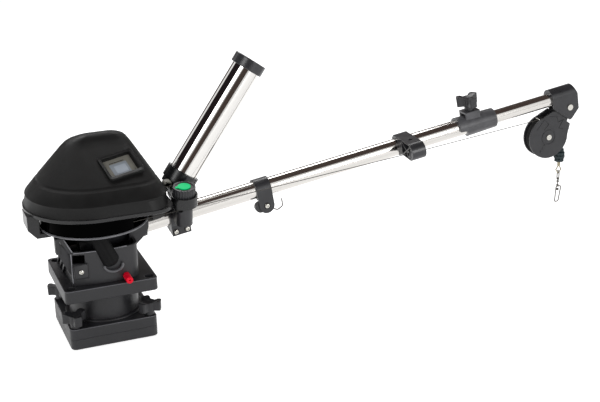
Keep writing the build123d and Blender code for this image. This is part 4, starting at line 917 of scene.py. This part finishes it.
def studio_world():
    """White all round for the camera; for gloss, a studio of pale boxes with dark gaps between them."""
    world = bpy.data.worlds.new("studio")
    bpy.context.scene.world = world
    world.use_nodes = True
    tree = world.node_tree
    tree.nodes.clear()
    way = add(tree, "TexCoord").outputs["Generated"]
    path = add(tree, "LightPath").outputs

    def facing(direction, low, high):
        """1 towards direction, 0 away from it, with a soft edge between two cosines."""
        dot = add(tree, "VectorMath", {0: way, 1: Vector(direction)}, operation="DOT_PRODUCT")
        soft = add(tree, "MapRange", {"Value": dot.outputs["Value"], "From Min": low, "From Max": high},
                   interpolation_type="SMOOTHSTEP")
        return soft.outputs["Result"]

    beside_boom = facing(-ALONG, -0.16, -0.08)

    def gap(start, end, soft):
        """1 between two angles round the rod tube, counted from its front, and 0 the way the boom points."""
        sides = [facing(ROD_FRONT * math.cos(a) + ROD_SIDE * math.sin(a), -soft, soft)
                 for a in (math.radians(start + 90), math.radians(end - 90))]
        inside = add(tree, "Math", {0: sides[0], 1: sides[1]}, operation="MULTIPLY")
        return add(tree, "Math", {0: inside.outputs[0], 1: beside_boom}, operation="MULTIPLY").outputs[0]

    # a dark ceiling with one pale box in it, at the back
    ceiling = facing(CEILING_WAY, 0.44, 0.54)
    back_box = facing(BOX_WAY, 0.955, 0.968)
    open_ceiling = add(tree, "Math", {0: ceiling, 1: back_box}, operation="SUBTRACT", use_clamp=True)
    # a thin dark line across the front
    line_off = add(tree, "VectorMath", {0: way, 1: LINE_WAY}, operation="DOT_PRODUCT")
    line_near = add(tree, "Math", {0: line_off.outputs["Value"]}, operation="ABSOLUTE")
    line = add(tree, "MapRange", {"Value": line_near.outputs[0], "From Min": 0.022, "From Max": 0.012})
    front_line = add(tree, "Math", {0: line.outputs["Result"], 1: facing((0, -1, 0), 0.2, 0.4)},
                     operation="MULTIPLY")
    # the dark gaps that give the tubes their stripes
    left_gap = gap(*LEFT_GAP)
    dark = left_gap
    for part in (gap(*FRONT_GAP), gap(*RIM_GAP), open_ceiling.outputs[0], front_line.outputs[0]):
        dark = add(tree, "Math", {0: dark, 1: part}, operation="MAXIMUM").outputs[0]
    shade = add(tree, "Mix", {"Factor": left_gap, MIX_A: linear("#4a403c"), MIX_B: linear("#231d1f")},
                data_type="RGBA")
    studio = add(tree, "Mix", {"Factor": dark, MIX_A: linear("#fdfdfd"), MIX_B: shade.outputs[MIXED]},
                 data_type="RGBA")
    colour = add(tree, "Mix", {"Factor": path["Is Glossy Ray"], MIX_A: linear("#ffffff"),
                               MIX_B: studio.outputs[MIXED]}, data_type="RGBA")
    direct = path["Is Camera Ray"]
    for other in ("Is Glossy Ray", "Is Transmission Ray"):
        direct = add(tree, "Math", {0: direct, 1: path[other]}, operation="MAXIMUM").outputs[0]
    level = add(tree, "MapRange", {"Value": direct, "To Min": MATT_LEVEL, "To Max": 1.0})
    back = add(tree, "Background", {"Color": colour.outputs[MIXED], "Strength": level.outputs["Result"]})
    add(tree, "OutputWorld", {"Surface": back.outputs[0]})


studio_world()

# ---------------------------------------------------------------- lamps and floor, in metres
# place, what it points at, width and height, and power in watts
LAMPS = {
    "key": ((-1.35, -1.2, 1.5), (0.1, 0, 0.25), (1.0, 0.8), 11),
    "fill": ((1.3, -2.3, 0.9), (0.2, 0, 0.15), (0.6, 1.0), 15),
    "overhead": ((0.3, 1.4, 1.9), (0.4, 0, 0.2), (2.0, 0.6), 26),
}
FLOOR_HALF = 12.0
FLOOR_GAP = 0.0005          # between the floor and the base's underside
FLOOR_SEEN = 0.64           # what the floor gives off towards the camera, on top of what the lamps give it
FLOOR_MIRRORED = 0.42       # and towards polished metal


def area_light(name, place, target, size, power):
    """A rectangular lamp that faces target."""
    lamp = bpy.data.lights.new(name, "AREA")
    lamp.shape = "RECTANGLE"
    lamp.size, lamp.size_y = size
    lamp.energy = power
    holder = bpy.data.objects.new(name, lamp)
    holder.matrix_world = axes(Vector(place), Vector(place) - Vector(target))
    bpy.context.scene.collection.objects.link(holder)


def paper_sweep():
    """Matt white paper that glows a little for the camera, so that it stays white to its far end."""
    paper = bpy.data.materials.new("paper_sweep")
    paper.use_nodes = True
    tree = paper.node_tree
    shader = tree.nodes["Principled BSDF"]
    shader.inputs["Base Color"].default_value = linear("#f4f4f4")
    shader.inputs["Roughness"].default_value = 0.9
    shader.inputs["Emission Color"].default_value = (1, 1, 1, 1)
    path = add(tree, "LightPath").outputs
    seen = add(tree, "Math", {0: path["Is Camera Ray"], 1: path["Is Transmission Ray"]}, operation="MAXIMUM")
    mirrored = add(tree, "Math", {0: path["Is Glossy Ray"], 1: FLOOR_MIRRORED}, operation="MULTIPLY")
    glow = add(tree, "Math", {0: seen.outputs[0], 1: FLOOR_SEEN, 2: mirrored.outputs[0]},
               operation="MULTIPLY_ADD")
    tree.links.new(glow.outputs[0], shader.inputs["Emission Strength"])
    return paper


def paper_floor():
    """Square of paper under the object."""
    mesh = bpy.data.meshes.new("floor")
    corners = [(x * FLOOR_HALF, y * FLOOR_HALF, 0) for x, y in ((-1, -1), (1, -1), (1, 1), (-1, 1))]
    mesh.from_pydata(corners, [], [(0, 1, 2, 3)])
    mesh.materials.append(paper_sweep())
    floor = bpy.data.objects.new("floor", mesh)
    floor.location.z = -FLOOR_GAP
    bpy.context.scene.collection.objects.link(floor)


for name, lamp in LAMPS.items():
    area_light(name, *lamp)
paper_floor()

bpy.context.scene.view_settings.view_transform = "Standard"
